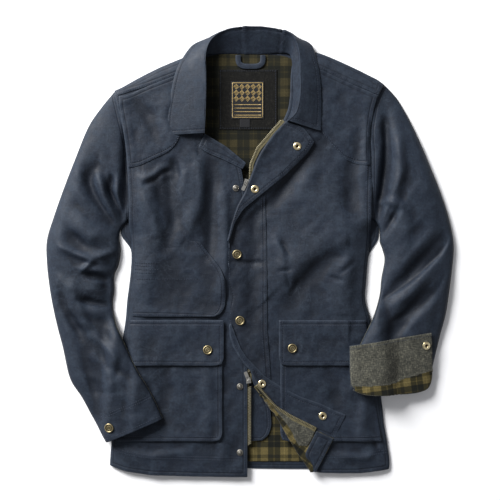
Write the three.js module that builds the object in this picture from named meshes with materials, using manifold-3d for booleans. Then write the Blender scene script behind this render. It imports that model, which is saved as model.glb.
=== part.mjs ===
// Waxed cotton field jacket, laid flat on its back, front up. Millimetres, +Z up, the floor at z = 0.
// The wearer's right is on the -X side, the neck towards +Y. The origin is on the flat underside.
import * as THREE from "three";
import { mergeVertices } from "three/addons/utils/BufferGeometryUtils.js";
import Module from "manifold-3d";

const wasm = await Module();
wasm.setup();

// Cloth and layers
const clothWall = 2.2; // shell and lining together
const backWall = 1.6;
const liningWall = 1.0;
const patchWall = 1.2; // pockets, flaps and yokes
const seamGap = 0.3;
const armholeGap = 1; // the two sides of this curved seam have different steps
const layerStep = patchWall + seamGap;

// How high the laid jacket stands
const sideHeight = 4.2; // top of the front where it meets the side seam
const chestHeight = 13.5;
const hemHeight = 10;
const sideRound = 46; // width of the soft rise in from a side seam
const shoulderRound = 34;
const underarmY = 58;

// Columns and rows of the front's surface
const bodyColumns = 20;
const bodyRows = 30;
const bodyBottom = -424;
const bodyTop = 376;
const edgeCrowding = 0.5; // how much closer the columns stand at the side seams

// Side seams, and above the underarm the armhole seams: x of each at a height y
const sideSeams = [
  { y: -424, right: -260, left: 250 },
  { y: -399, right: -259, left: 258 },
  { y: -352, right: -256, left: 253 },
  { y: -325, right: -253, left: 248 },
  { y: -278, right: -248, left: 243 },
  { y: -223, right: -241, left: 234 },
  { y: -177, right: -237, left: 229 },
  { y: -130, right: -230, left: 223 },
  { y: -93, right: -227, left: 213 },
  { y: -56, right: -222, left: 215 },
  { y: -19, right: -219, left: 218 },
  { y: 18, right: -220, left: 222 },
  { y: 58, right: -223, left: 223 },
  { y: 84, right: -222, left: 223 },
  { y: 129, right: -224, left: 224 },
  { y: 156, right: -226, left: 224 },
  { y: 184, right: -228, left: 224 },
  { y: 221, right: -233, left: 222 },
  { y: 267, right: -244, left: 229 },
  { y: 293, right: -250, left: 239 },
  { y: 307, right: -252, left: 248 },
  { y: 376, right: -262, left: 262 },
];

// Shoulder line: y at each x
const shoulderLine = [
  { x: -262, y: 288 },
  { x: -250, y: 295 },
  { x: -204, y: 319 },
  { x: -167, y: 338 },
  { x: -120, y: 357 },
  { x: -86, y: 371 },
  { x: 0, y: 376 },
  { x: 87, y: 373 },
  { x: 130, y: 364 },
  { x: 167, y: 349 },
  { x: 204, y: 332 },
  { x: 237, y: 316 },
  { x: 248, y: 307 },
  { x: 262, y: 296 },
];

// Main folds of the fronts: a soft ridge (rise above 0) or trough from one point to another
const frontFolds = [
  { x0: 74, y0: 150, x1: 37, y1: 40, width: 17, rise: -2.6 },
  { x0: 167, y0: 20, x1: 60, y1: -110, width: 20, rise: -3.0 },
  { x0: 100, y0: 130, x1: 175, y1: 10, width: 26, rise: 2.6 },
  { x0: 190, y0: -50, x1: 182, y1: -120, width: 18, rise: -2.6 },
  { x0: 150, y0: 190, x1: 205, y1: 60, width: 22, rise: -1.8 },
  { x0: -207, y0: 145, x1: -150, y1: 150, width: 10, rise: -1.8 },
  { x0: -185, y0: 130, x1: -160, y1: 20, width: 18, rise: 2.0 },
  { x0: -95, y0: 160, x1: -85, y1: 60, width: 17, rise: -2.2 },
  { x0: -120, y0: 110, x1: -135, y1: 20, width: 20, rise: 1.6 },
  { x0: -60, y0: 60, x1: -52, y1: -20, width: 18, rise: -1.8 },
  { x0: 60, y0: -20, x1: 120, y1: -90, width: 16, rise: 1.8 },
];

// Sleeves: a section each row, from the outer seam to the inner seam. high is the crown above what it
// lies on, over is how far the section has come to lie on the front, follow is how much of the
// armhole's curve it still has.
const rightSleeve = [
  { ox: -252, oy: 293, ix: -224, iy: 58, high: 13.5, over: 0, follow: 1 },
  { ox: -277, oy: 262, ix: -229, iy: 51, high: 16, over: 0, follow: 0.6 },
  { ox: -300, oy: 227, ix: -237, iy: 43, high: 19, over: 0, follow: 0.25 },
  { ox: -322, oy: 173, ix: -242, iy: 32, high: 21, over: 0, follow: 0 },
  { ox: -344, oy: 116, ix: -242, iy: 18, high: 23, over: 0, follow: 0 },
  { ox: -363, oy: 62, ix: -240, iy: -1, high: 24, over: 0, follow: 0 },
  { ox: -376, oy: 18, ix: -244, iy: -27, high: 24, over: 0, follow: 0 },
  { ox: -376, oy: -23, ix: -252, iy: -47, high: 23, over: 0, follow: 0 },
  { ox: -372, oy: -62, ix: -252, iy: -75, high: 22, over: 0, follow: 0 },
  { ox: -366, oy: -99, ix: -255, iy: -103, high: 21, over: 0, follow: 0 },
  { ox: -357, oy: -140, ix: -248, iy: -136, high: 20, over: 1, follow: 0 },
  { ox: -346, oy: -182, ix: -235, iy: -164, high: 19, over: 1, follow: 0 },
  { ox: -333, oy: -238, ix: -211, iy: -216, high: 17, over: 1, follow: 0 },
  { ox: -311, oy: -273, ix: -192, iy: -247, high: 16, over: 1, follow: 0 },
  { ox: -292, oy: -308, ix: -176, iy: -277, high: 15, over: 1, follow: 0 },
  { ox: -276, oy: -336, ix: -167, iy: -297, high: 15, over: 1, follow: 0 },
  { ox: -265, oy: -354, ix: -161, iy: -310, high: 15, over: 1, follow: 0 },
];
const leftSleeve = [
  { ox: 248, oy: 306, ix: 224, iy: 58, high: 13.5, over: 0, follow: 1 },
  { ox: 272, oy: 280, ix: 230, iy: 54, high: 16, over: 0, follow: 0.6 },
  { ox: 294, oy: 243, ix: 236, iy: 47, high: 19, over: 0, follow: 0.25 },
  { ox: 315, oy: 199, ix: 240, iy: 38, high: 21, over: 0, follow: 0 },
  { ox: 335, oy: 151, ix: 241, iy: 27, high: 23, over: 0, follow: 0 },
  { ox: 353, oy: 105, ix: 241, iy: 15, high: 24, over: 0, follow: 0 },
  { ox: 368, oy: 58, ix: 246, iy: 1, high: 24, over: 0, follow: 0 },
  { ox: 377, oy: 10, ix: 250, iy: -19, high: 24, over: 0, follow: 0 },
  { ox: 374, oy: -34, ix: 244, iy: -53, high: 23, over: 0, follow: 0 },
  { ox: 368, oy: -79, ix: 240, iy: -86, high: 22, over: 1, follow: 0 },
  { ox: 362, oy: -118, ix: 227, iy: -124, high: 21, over: 1, follow: 0 },
  { ox: 353, oy: -152, ix: 207, iy: -166, high: 19, over: 1, follow: 0 },
  { ox: 345, oy: -184, ix: 192, iy: -200, high: 17, over: 1, follow: 0 },
  { ox: 337, oy: -218, ix: 186, iy: -230, high: 16, over: 1, follow: 0 },
  { ox: 331, oy: -247, ix: 186, iy: -252, high: 15, over: 1, follow: 0 },
];
const sleeveAcross = 10;
const sleeveUnderAcross = 8;
const sleeveAlong = 20;
const sleeveSquareness = 2.6; // 2 gives a round crown, more a flatter one

const bridgeWidth = 18; // a sleeve that lies on the front spans its round side edge this far in

const sleeveFolds = [
  { x0: -309, y0: 147, x1: -244, y1: 40, width: 10, rise: -5.0 },
  { x0: -270, y0: 145, x1: -236, y1: 60, width: 8, rise: -4.0 },
  { x0: -290, y0: 160, x1: -262, y1: 70, width: 9, rise: 3.5 },
  { x0: -305, y0: -38, x1: -255, y1: -57, width: 9, rise: -4.0 },
  { x0: -314, y0: -93, x1: -258, y1: -103, width: 9, rise: -3.5 },
  { x0: -342, y0: -93, x1: -298, y1: -180, width: 14, rise: -3.5 },
  { x0: -298, y0: -180, x1: -200, y1: -245, width: 12, rise: -2.5 },
  { x0: -300, y0: -70, x1: -262, y1: -80, width: 10, rise: 2.5 },
  { x0: 248, y0: 276, x1: 259, y1: 200, width: 12, rise: -5.0 },
  { x0: 259, y0: 200, x1: 240, y1: 90, width: 11, rise: -4.0 },
  { x0: 272, y0: 255, x1: 276, y1: 180, width: 12, rise: 3.0 },
  { x0: 360, y0: 27, x1: 245, y1: -90, width: 15, rise: -4.5 },
  { x0: 370, y0: -1, x1: 250, y1: -167, width: 14, rise: -3.5 },
  { x0: 345, y0: -30, x1: 262, y1: -120, width: 14, rise: 3.0 },
];

// Turned-back left cuff, wrapped round the last rows of the sleeve
const cuffCorners = {
  foldInner: [184, -253.5],
  foldOuter: [338, -249],
  topInner: [183, -177],
  topOuter: [333, -153],
};
const cuffAlong = 6;
const cuffAcross = 14;
const cuffWall = 1.7;
const cuffGap = 0.9;
const cuffClear = 2; // room round the sleeve, whose slopes run between the cuff's points
const cuffLift = cuffWall + cuffGap; // the sleeve's end stands on the cuff's lower layer
const cuffDip = 12; // how much lower the middle of the sleeve's end lies than its sides
const cuffBelly = 13.5; // the same for the cuff's fold round it
const foldSquareness = 4; // more makes the fold straighter between rounder corners
const endReach = 7; // how far the cuff's fold may lie below the sleeve's end
const cuffHigh = 17.5; // the cuff's own crown over what it lies on

// Collar: base is the neck seam, roll the fold's top, edge the free edge of the fall
const collarStations = [
  { bx: -93, by: 214, bz: 16.4, rx: -83, ry: 215, rz: 27, ex: -155, ey: 212, ez: 16.8 },
  { bx: -95, by: 249, bz: 16.4, rx: -81, ry: 249, rz: 30, ex: -152, ey: 249, ez: 16.8 },
  { bx: -96, by: 286, bz: 16.4, rx: -80, ry: 286, rz: 31, ex: -146, ey: 286, ez: 17 },
  { bx: -96, by: 322, bz: 16.4, rx: -80, ry: 323, rz: 31, ex: -137, ey: 326, ez: 16.8 },
  { bx: -93, by: 347, bz: 15.6, rx: -81, ry: 354, rz: 29, ex: -124, ey: 355, ez: 12 },
  { bx: -80, by: 361, bz: 10, rx: -76, ry: 377, rz: 27, ex: -104, ey: 381, ez: 5 },
  { bx: -66, by: 363, bz: 4.5, rx: -62, ry: 395, rz: 25, ex: -74, ey: 391, ez: 2 },
  { bx: -37, by: 364, bz: 4, rx: -38, ry: 406, rz: 23, ex: -38, ey: 381, ez: 1.6 },
  { bx: -7, by: 363, bz: 4, rx: -9, ry: 410, rz: 22, ex: -8, ey: 378, ez: 1.6 },
  { bx: 22, by: 363, bz: 4, rx: 22, ry: 410, rz: 22, ex: 22, ey: 378, ez: 1.6 },
  { bx: 50, by: 365, bz: 4.5, rx: 53, ry: 405, rz: 23, ex: 50, ey: 381, ez: 1.6 },
  { bx: 70, by: 364, bz: 6, rx: 76, ry: 396, rz: 25, ex: 87, ey: 391, ez: 2.5 },
  { bx: 76, by: 354, bz: 15, rx: 87, ry: 377, rz: 27, ex: 112, ey: 381, ez: 7 },
  { bx: 78, by: 332, bz: 16.4, rx: 91, ry: 354, rz: 29, ex: 121, ey: 355, ez: 16 },
  { bx: 79, by: 304, bz: 16.4, rx: 92, ry: 323, rz: 30, ex: 129, ey: 318, ez: 18 },
  { bx: 79, by: 278, bz: 16.4, rx: 92, ry: 286, rz: 30, ex: 131, ey: 281, ez: 16.8 },
  { bx: 75, by: 254, bz: 16.4, rx: 85, ry: 254, rz: 28, ex: 131, ey: 249, ez: 16.8 },
  { bx: 66, by: 236, bz: 16.4, rx: 70, ry: 238, rz: 25, ex: 130, ey: 220, ez: 16.8 },
];
const collarWall = 2.0;
const standAcross = 4;
const fallAcross = 6;
const collarSteps = 24;
const rollRadius = 5; // how far the fold of the collar bulges past the roll line
const rollGap = 2.6; // the stand stops this far short of the roll line

// Outlines on the fronts
const frontRightOutline = [
  [-5.6, -419],
  [-5.6, 60],
  [-9.3, 110],
  [-18.5, 160],
  [-52, 170],
  [-80, 180],
  [-88, 215],
  [-91, 250],
  [-92, 300],
  [-91, 345],
  [-86, 368],
];
const frontLeftOutline = [
  [90, 368],
  [80, 352],
  [76, 323],
  [75, 286],
  [72, 262],
  [63, 240],
  [41, 215.5],
  [15, 186],
  [3, 158],
  [0.6, 119],
  [3.7, 64],
  [3.7, -234],
  [6, -247],
  [22, -267],
  [46, -302],
  [70, -345],
  [92, -380],
  [115, -408],
];
const rightHem = [
  [-262, -398],
  [-231, -408],
  [-185, -415],
  [-92, -418],
];
const leftHem = [
  [130, -411],
  [204, -411],
  [262, -405],
];
const backHem = [
  [-262, -396],
  [-180, -399],
  [-5, -391],
  [115, -404],
  [262, -402],
];
const backNeck = [
  [87, 371],
  [55, 370],
  [0, 368],
  [-40, 368],
  [-86, 370],
];

// Storm flap: it hangs on the left front and covers the zip; its head and foot are turned back
const flapHeadFold = [
  [-38.9, 17.6],
  [-31, 52],
  [-20, 82],
  [-8, 103],
  [9, 147],
  [16, 166],
  [30, 190],
  [46, 212],
  [66, 234],
];
const flapHinge = [
  [80, 219],
  [63, 195],
  [45, 169],
  [31, 138],
  [28, 92],
  [30, 18],
  [31.5, -149],
  [37, -223],
  [38, -243],
];
const flapFootFold = [
  [14, -247],
  [8, -236],
  [2, -221],
  [-12, -205],
  [-27, -182],
  [-35, -160],
  [-37, -139.7],
];
const flapFreeEdge = [
  [-36, -110],
  [-37, -93],
  [-38.9, -56],
];
const flapHeadFree = [
  [98, 225],
  [118, 199],
  [107, 180],
  [87, 160],
  [65, 138],
  [37, 116],
  [9, 93],
  [-13, 75],
  [-29, 51],
];
const flapFootFree = [
  [-33, -137],
  [-27, -158],
  [-17, -182],
  [-5, -200],
  [11, -216],
  [28, -234],
  [56, -252],
  [92, -271],
  [130, -284],
  [157, -297],
  [176, -304],
  [154, -348],
  [128, -338],
  [96, -326],
  [60, -306],
  [36, -282],
  [24, -262],
];

// Turned-back lower corner of the left front, and what shows on its inside
const cornerFold = [
  [10, -252],
  [24, -268],
  [47, -302],
  [72, -345],
  [94, -380],
  [113, -405],
];
const cornerOutline = [
  [122, -410],
  [133, -389],
  [154, -348],
  [122, -333],
  [96, -318],
  [74, -307],
  [46, -290],
  [30, -272],
  [17, -255],
];
const facingOutline = [
  [29, -279],
  [48, -294],
  [74, -309],
  [98, -321],
  [120, -333],
  [106, -362],
  [90, -359],
  [66, -320],
  [48, -300],
];
const hemFacingOutline = [
  [123, -334],
  [152, -347],
  [132, -388],
  [121, -408],
  [116, -407],
  [101, -378],
  [108, -363],
];

// Patches of the outside
const yokeRightOutline = [
  [-224, 152],
  [-203, 156],
  [-176, 169],
  [-152, 180],
  [-139, 191],
  [-130, 208],
  [-112, 250],
  [-98, 300],
  [-104, 341],
  [-133, 322],
  [-185, 302],
  [-228, 281],
];
const shoulderRightOutline = [
  [-244, 292],
  [-229, 284],
  [-185, 304.6],
  [-133, 324.6],
  [-104, 343],
  [-100, 350],
  [-120, 352],
  [-167, 333],
  [-204, 314],
];
const yokeLeftOutline = [
  [220, 156],
  [180, 160],
  [157, 188],
  [130, 221],
  [100, 262],
  [86, 300],
  [100, 341],
  [133, 330],
  [180, 308],
  [222, 282],
];
const shoulderLeftOutline = [
  [236, 298],
  [222, 285],
  [180, 310.6],
  [133, 332.6],
  [101, 343.5],
  [98, 352],
  [130, 358],
  [167, 343],
  [204, 326],
];
const handwarmerOutline = [
  [-214, -122],
  [-66, -122],
  [-50, -112],
  [-45, -93],
  [-45, -66],
  [-52, -42],
  [-92, 12],
  [-166, -4],
  [-208, -22],
];
const neckbandOutline = [
  [-83, 206],
  [-90, 186],
  [-77, 176],
  [-52, 168],
  [-20, 158],
  [-8, 162],
  [-26, 182],
  [-52, 206],
];
const pocketTop = -132;
const pocketBottom = -352;
const pocketFlapTop = -130;
const pocketFlapBottom = -212;
const pocketRightInner = -52;
const pocketLeftInner = 57;
const pocketCorner = 18;
const pocketSideMargin = 9;
const pocketFlapOverhang = 3;

// Zip
const chainHalfWidth = 3.2;
const chainCentre = -1;
const chainTop = 118;
const chainBend = 60; // above here the zip leans to the wearer's right
const chainLean = 3.4;
const lowerSliderY = -238;
const chainBottom = -362;
const sliderLength = 11;
const sliderWidth = 8.6;
const sliderThick = 2.4;
const archWidth = 1.8;
const archLength = 6;
const archRise = 2.6;
const archStrap = 0.9;
const pullLength = 17;
const pullWidth = 6.4;
const pullThick = 1.3;
const pullWindow = 6.6;
const pullRail = 1.1;
const barRadius = 0.75;
const upperSliderPlace = { x: -6.4, y: 125, turn: -0.22, pullTurn: -0.45 };
const lowerSliderPlace = { x: -2.8, y: -240, turn: Math.PI + 0.1, pullTurn: Math.PI + 0.36 };

// Snaps
const capRadius = 8.7;
const capHeight = 2.6;
const socketRadius = 7.5;
const studRadius = 6;
const roundSides = 14;

// Finishes
const finishes = {
  waxedCotton: { color: 0x3a414d, roughness: 0.62, metalness: 0 },
  checkLining: { color: 0x23261f, roughness: 0.9, metalness: 0 },
  tweed: { color: 0x6b6a60, roughness: 0.95, metalness: 0 },
  zipTape: { color: 0x5d583f, roughness: 0.85, metalness: 0 },
  brass: { color: 0xa08c5b, roughness: 0.35, metalness: 1 },
  zipMetal: { color: 0xb9b8b2, roughness: 0.3, metalness: 1 },
  label: { color: 0x17181a, roughness: 0.8, metalness: 0 },
};

const root = new THREE.Group();

// Small measures
const clamp01 = (value) => Math.min(1, Math.max(0, value));
const blend = (a, b, share) => a + (b - a) * share;
const smooth = (from, to, value) => {
  const share = clamp01((value - from) / (to - from));
  return share * share * (3 - 2 * share);
};
const quarterRound = (distance, radius) => Math.sqrt(1 - (1 - clamp01(distance / radius)) ** 2);

// A smooth curve through a table's rows: one column's value where another column has the given value
function readTable(table, by, column, at) {
  let i = 0;
  while (i < table.length - 2 && table[i + 1][by] < at) i++;
  const share = clamp01((at - table[i][by]) / (table[i + 1][by] - table[i][by]));
  return readRow(table, column, i + share);
}

// The value of a column at a fractional row number, by a Catmull-Rom curve
function readRow(table, column, row) {
  const last = table.length - 1;
  const i = Math.min(last - 1, Math.floor(row));
  const share = row - i;
  const [a, b, c, d] = [i - 1, i, i + 1, i + 2].map((k) => table[Math.min(last, Math.max(0, k))][column]);
  const slopeB = (c - a) / 2;
  const slopeC = (d - b) / 2;
  const square = share * share;
  const cube = square * share;
  return (
    b * (2 * cube - 3 * square + 1) +
    slopeB * (cube - 2 * square + share) +
    c * (3 * square - 2 * cube) +
    slopeC * (cube - square)
  );
}

const rightSide = (y) => readTable(sideSeams, "y", "right", y);
const leftSide = (y) => readTable(sideSeams, "y", "left", y);
const shoulderY = (x) => readTable(shoulderLine, "x", "y", x);

// Sum of the folds at a point: each is highest on its line and dies away to the sides and at its ends
function foldRise(folds, x, y) {
  let total = 0;
  for (const { x0, y0, x1, y1, width, rise } of folds) {
    const length = (x1 - x0) ** 2 + (y1 - y0) ** 2;
    const along = ((x - x0) * (x1 - x0) + (y - y0) * (y1 - y0)) / length;
    const share = clamp01(along);
    const away = Math.hypot(x - blend(x0, x1, share), y - blend(y0, y1, share)) / width;
    const taper = 0.55 + 0.45 * Math.sin(Math.PI * share);
    total += rise * taper * Math.exp(-away * away);
  }
  return total;
}

// Height of the fronts' outer face over the floor
function frontHeight(x, y) {
  const fromSide = Math.min(x - rightSide(y), leftSide(y) - x);
  const armhole = smooth(underarmY - 30, underarmY + 22, y) * sideRound;
  const side = quarterRound(Math.max(0, fromSide) + armhole, sideRound);
  const shoulder = quarterRound(Math.max(0, shoulderY(x) - y), shoulderRound);
  const full = blend(hemHeight, chestHeight, smooth(-400, -120, y));
  const lift = side * shoulder;
  return sideHeight + (full - sideHeight) * lift + foldRise(frontFolds, x, y) * lift * lift;
}

// The fronts' surface as a grid of points, closer together at the sides
const bodyGrid = [];
for (let j = 0; j <= bodyRows; j++) {
  const y = blend(bodyBottom, bodyTop, j / bodyRows);
  const row = [];
  for (let i = 0; i <= bodyColumns; i++) {
    const even = i / bodyColumns;
    const crowded = (1 - Math.cos(Math.PI * even)) / 2;
    const x = blend(rightSide(y), leftSide(y), blend(even, crowded, edgeCrowding));
    row.push([x, y, frontHeight(x, y)]);
  }
  bodyGrid.push(row);
}

// Closed geometry of a wall between two grids of points with the same rows and columns, outer above inner
function wallGeometry(outer, inner) {
  const rows = outer.length;
  const columns = outer[0].length;
  const points = [...outer.flat(2), ...inner.flat(2)];
  const faces = [];
  const at = (j, i) => j * columns + i;
  const below = rows * columns;
  const quad = (a, b, c, d) => faces.push(a, b, c, a, c, d);
  for (let j = 0; j < rows - 1; j++) {
    for (let i = 0; i < columns - 1; i++) {
      quad(at(j, i), at(j, i + 1), at(j + 1, i + 1), at(j + 1, i));
      quad(below + at(j, i), below + at(j + 1, i), below + at(j + 1, i + 1), below + at(j, i + 1));
    }
  }
  for (let i = 0; i < columns - 1; i++) {
    quad(at(0, i + 1), at(0, i), below + at(0, i), below + at(0, i + 1));
    quad(at(rows - 1, i), at(rows - 1, i + 1), below + at(rows - 1, i + 1), below + at(rows - 1, i));
  }
  for (let j = 0; j < rows - 1; j++) {
    quad(at(j, 0), at(j + 1, 0), below + at(j + 1, 0), below + at(j, 0));
    const end = columns - 1;
    quad(at(j + 1, end), at(j, end), below + at(j, end), below + at(j + 1, end));
  }
  const geometry = new THREE.BufferGeometry();
  geometry.setAttribute("position", new THREE.Float32BufferAttribute(points, 3));
  geometry.setIndex(faces);
  return geometry;
}

// Geometry to solid and back, for cuts and joins
function solidOf(geometry) {
  const bare = geometry.clone();
  bare.deleteAttribute("normal");
  bare.deleteAttribute("uv");
  const merged = mergeVertices(bare, 1e-4);
  const triVerts = new Uint32Array(merged.index.array);
  return new wasm.Manifold(
    new wasm.Mesh({ numProp: 3, vertProperties: merged.attributes.position.array, triVerts }),
  );
}

function geometryOf(solid) {
  const mesh = solid.getMesh();
  const geometry = new THREE.BufferGeometry();
  geometry.setAttribute("position", new THREE.BufferAttribute(new Float32Array(mesh.vertProperties), 3));
  geometry.setIndex(new THREE.BufferAttribute(new Uint32Array(mesh.triVerts), 1));
  return geometry;
}

function addPiece(name, geometry, finish, parent = root) {
  geometry.computeVertexNormals();
  const mesh = new THREE.Mesh(geometry, new THREE.MeshStandardMaterial(finishes[finish]));
  mesh.name = name;
  parent.add(mesh);
  return mesh;
}

const outlineShape = (points) => new THREE.Shape(points.map(([x, y]) => new THREE.Vector2(x, y)));

// A smooth closed or open line through hand-set corners
function softLine(points, steps) {
  const curve = new THREE.SplineCurve(points.map(([x, y]) => new THREE.Vector2(x, y)));
  return curve.getPoints(steps).map((p) => [p.x, p.y]);
}

function prism(points, low, high) {
  const depth = high - low;
  const geometry = new THREE.ExtrudeGeometry(outlineShape(points), { depth, bevelEnabled: false });
  geometry.translate(0, 0, low);
  return geometry;
}

// The part of the fronts' surface inside an outline, moved up, as a cloth of its own
function layerGeometry(points, moved, thick) {
  const xs = points.map((p) => p[0]);
  const ys = points.map((p) => p[1]);
  const rowStep = (bodyTop - bodyBottom) / bodyRows;
  const first = Math.max(0, Math.floor((Math.min(...ys) - bodyBottom) / rowStep));
  const last = Math.min(bodyRows, Math.ceil((Math.max(...ys) - bodyBottom) / rowStep));
  const rows = bodyGrid.slice(first, last + 1);
  let from = 0;
  let to = bodyColumns;
  while (from < bodyColumns && rows.every((row) => row[from + 1][0] < Math.min(...xs))) from++;
  while (to > 0 && rows.every((row) => row[to - 1][0] > Math.max(...xs))) to--;
  const part = rows.map((row) => row.slice(from, to + 1));
  const rise = typeof moved === "function" ? moved : () => moved;
  const outer = part.map((row) => row.map(([x, y, z]) => [x, y, z + rise(x, y) + thick]));
  const inner = part.map((row) => row.map(([x, y, z]) => [x, y, z + rise(x, y)]));
  const cut = solidOf(prism(points, -40, 80));
  return geometryOf(solidOf(wallGeometry(outer, inner)).intersect(cut));
}

// Height of a grid's surface at one point, as its flat facets have it
function gridHeight(grid, x, y) {
  const side = (p, q) => (q[0] - p[0]) * (y - p[1]) - (q[1] - p[1]) * (x - p[0]);
  for (let j = 0; j < grid.length - 1; j++) {
    for (let i = 0; i < grid[0].length - 1; i++) {
      const corners = [grid[j][i], grid[j][i + 1], grid[j + 1][i + 1], grid[j + 1][i]];
      for (const [a, b, c] of [
        [corners[0], corners[1], corners[2]],
        [corners[0], corners[2], corners[3]],
      ]) {
        const weights = [side(b, c), side(c, a), side(a, b)];
        const whole = weights[0] + weights[1] + weights[2];
        if (weights.every((weight) => weight / whole >= 0)) {
          return (weights[0] * a[2] + weights[1] * b[2] + weights[2] * c[2]) / whole;
        }
      }
    }
  }
  return undefined;
}

// A rectangle whose named lower corner is round
function pocketOutline(inner, outer, top, bottom, radius) {
  const towardsOuter = Math.sign(outer - inner);
  const points = [
    [outer, top],
    [inner, top],
  ];
  for (let k = 0; k <= 5; k++) {
    const angle = (Math.PI / 2) * (k / 5);
    const x = inner + towardsOuter * radius * (1 - Math.cos(angle));
    points.push([x, bottom + radius * (1 - Math.sin(angle))]);
  }
  points.push([outer, bottom]);
  return points;
}

// Distance from a point to an open line of points
function distanceToLine(line, x, y) {
  let nearest = Infinity;
  for (let k = 0; k < line.length - 1; k++) {
    const [x0, y0] = line[k];
    const [x1, y1] = line[k + 1];
    const share = clamp01(
      ((x - x0) * (x1 - x0) + (y - y0) * (y1 - y0)) / ((x1 - x0) ** 2 + (y1 - y0) ** 2),
    );
    nearest = Math.min(nearest, Math.hypot(x - blend(x0, x1, share), y - blend(y0, y1, share)));
  }
  return nearest;
}

// Back: flat shell with the check lining on it
function addBack() {
  const sideSteps = 26;
  const sides = (inset, bottom, top) => {
    const right = [];
    const left = [];
    for (let k = 0; k <= sideSteps; k++) {
      const y = blend(bottom, top, k / sideSteps);
      right.push([rightSide(y) + inset, y]);
      left.push([leftSide(y) - inset, y]);
    }
    return { right, left };
  };
  const shoulders = (inset) => {
    const right = [];
    const left = [];
    for (let k = 0; k <= 6; k++) {
      const rightX = blend(-248 + inset, -88, k / 6);
      const leftX = blend(244 - inset, 90, k / 6);
      right.push([rightX, shoulderY(rightX) - inset]);
      left.push([leftX, shoulderY(leftX) - inset]);
    }
    return { right, left };
  };
  const shell = sides(0, -396, 290);
  const shellShoulders = shoulders(0);
  const hem = softLine(backHem, 16).slice(1, -1);
  const outline = [
    ...hem,
    ...shell.left,
    ...shellShoulders.left,
    ...backNeck,
    ...shellShoulders.right.reverse(),
    ...shell.right.reverse(),
  ];
  addPiece("back", prism(outline, 0, backWall), "waxedCotton");
  const inset = 9;
  const lining = sides(inset, -384, 276);
  const liningShoulders = shoulders(inset);
  const liningOutline = [
    ...lining.left,
    ...liningShoulders.left,
    ...backNeck.map(([x, y]) => [x, y - inset]),
    ...liningShoulders.right.reverse(),
    ...lining.right.reverse(),
  ];
  const liningLow = backWall + seamGap;
  addPiece("back_lining", prism(liningOutline, liningLow, liningLow + liningWall), "checkLining");
}

// Fronts, each cut out of the one surface
function addFronts() {
  const shoulderRight = [];
  const shoulderLeft = [];
  for (let k = 0; k <= 8; k++) {
    const rightX = blend(-90, -262, k / 8);
    const leftX = blend(262, 94, k / 8);
    shoulderRight.push([rightX, shoulderY(rightX)]);
    shoulderLeft.push([leftX, shoulderY(leftX)]);
  }
  const right = [...rightHem, ...frontRightOutline, ...shoulderRight];
  addPiece("front_right", layerGeometry(right, -clothWall, clothWall), "waxedCotton");
  const left = [...frontLeftOutline, ...leftHem, ...shoulderLeft];
  addPiece("front_left", layerGeometry(left, -clothWall, clothWall), "waxedCotton");
}

// A turned cloth stands higher along its fold
const puffed = (line, base, puff, reach) => (x, y) =>
  base + puff * Math.exp(-distanceToLine(line, x, y) / reach);

function addFrontPatches() {
  const onFront = seamGap;
  const onPatch = seamGap + layerStep;
  addPiece("yoke_right", layerGeometry(yokeRightOutline, onFront, patchWall), "waxedCotton");
  addPiece("shoulder_right", layerGeometry(shoulderRightOutline, onFront, patchWall), "waxedCotton");
  addPiece("yoke_left", layerGeometry(yokeLeftOutline, onFront, patchWall), "waxedCotton");
  addPiece("shoulder_left", layerGeometry(shoulderLeftOutline, onFront, patchWall), "waxedCotton");
  addPiece("handwarmer_right", layerGeometry(handwarmerOutline, onFront, patchWall), "waxedCotton");
  addPiece("neckband_right", layerGeometry(neckbandOutline, onFront, patchWall), "waxedCotton");
  const flap = [...flapHeadFold, ...flapHinge, ...flapFootFold, ...flapFreeEdge];
  addPiece("storm_flap", layerGeometry(flap, onFront, patchWall), "waxedCotton");
  const head = [...flapHeadFold, ...flapHeadFree];
  const headRise = puffed(flapHeadFold, onPatch, 2.6, 16);
  addPiece("storm_flap_head", layerGeometry(head, headRise, patchWall), "waxedCotton");
  const foot = [...[...flapFootFold].reverse(), ...[...flapFootFree].reverse()].reverse();
  const footRise = puffed(flapFootFold, onPatch, 2.2, 14);
  addPiece("storm_flap_foot", layerGeometry(foot, footRise, patchWall), "waxedCotton");

  // Lower pockets run to just inside the side seams
  for (const [side, inner, edge] of [
    ["right", pocketRightInner, rightSide],
    ["left", pocketLeftInner, leftSide],
  ]) {
    const inwards = side === "right" ? 1 : -1;
    const outerTop = edge(pocketTop) + inwards * pocketSideMargin;
    const outerLow = edge(pocketBottom) + inwards * pocketSideMargin;
    const bag = pocketOutline(inner, outerTop, pocketTop - 4, pocketBottom, pocketCorner);
    bag[bag.length - 1][0] = outerLow;
    addPiece("pocket_" + side, layerGeometry(bag, onFront, patchWall), "waxedCotton");
    const wide = inner + inwards * pocketFlapOverhang;
    const cover = pocketOutline(wide, outerTop, pocketFlapTop, pocketFlapBottom, pocketCorner - 4);
    cover[cover.length - 1][0] = edge(pocketFlapBottom) + inwards * pocketSideMargin;
    addPiece("pocket_flap_" + side, layerGeometry(cover, onPatch, patchWall), "waxedCotton");
  }

  // The turned lower corner lies on the turned foot of the storm flap
  const cornerLow = onPatch + layerStep;
  const cornerRise = puffed(cornerFold, cornerLow, 2.6, 12);
  addPiece(
    "front_left_corner",
    layerGeometry([...cornerFold, ...cornerOutline], cornerRise, patchWall),
    "checkLining",
  );
  const trimRise = (x, y) => cornerRise(x, y) + layerStep;
  const trimWall = 0.9;
  addPiece("corner_facing", layerGeometry(facingOutline, trimRise, trimWall), "tweed");
  addPiece("corner_hem_facing", layerGeometry(hemFacingOutline, trimRise, trimWall), "waxedCotton");
}

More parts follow.
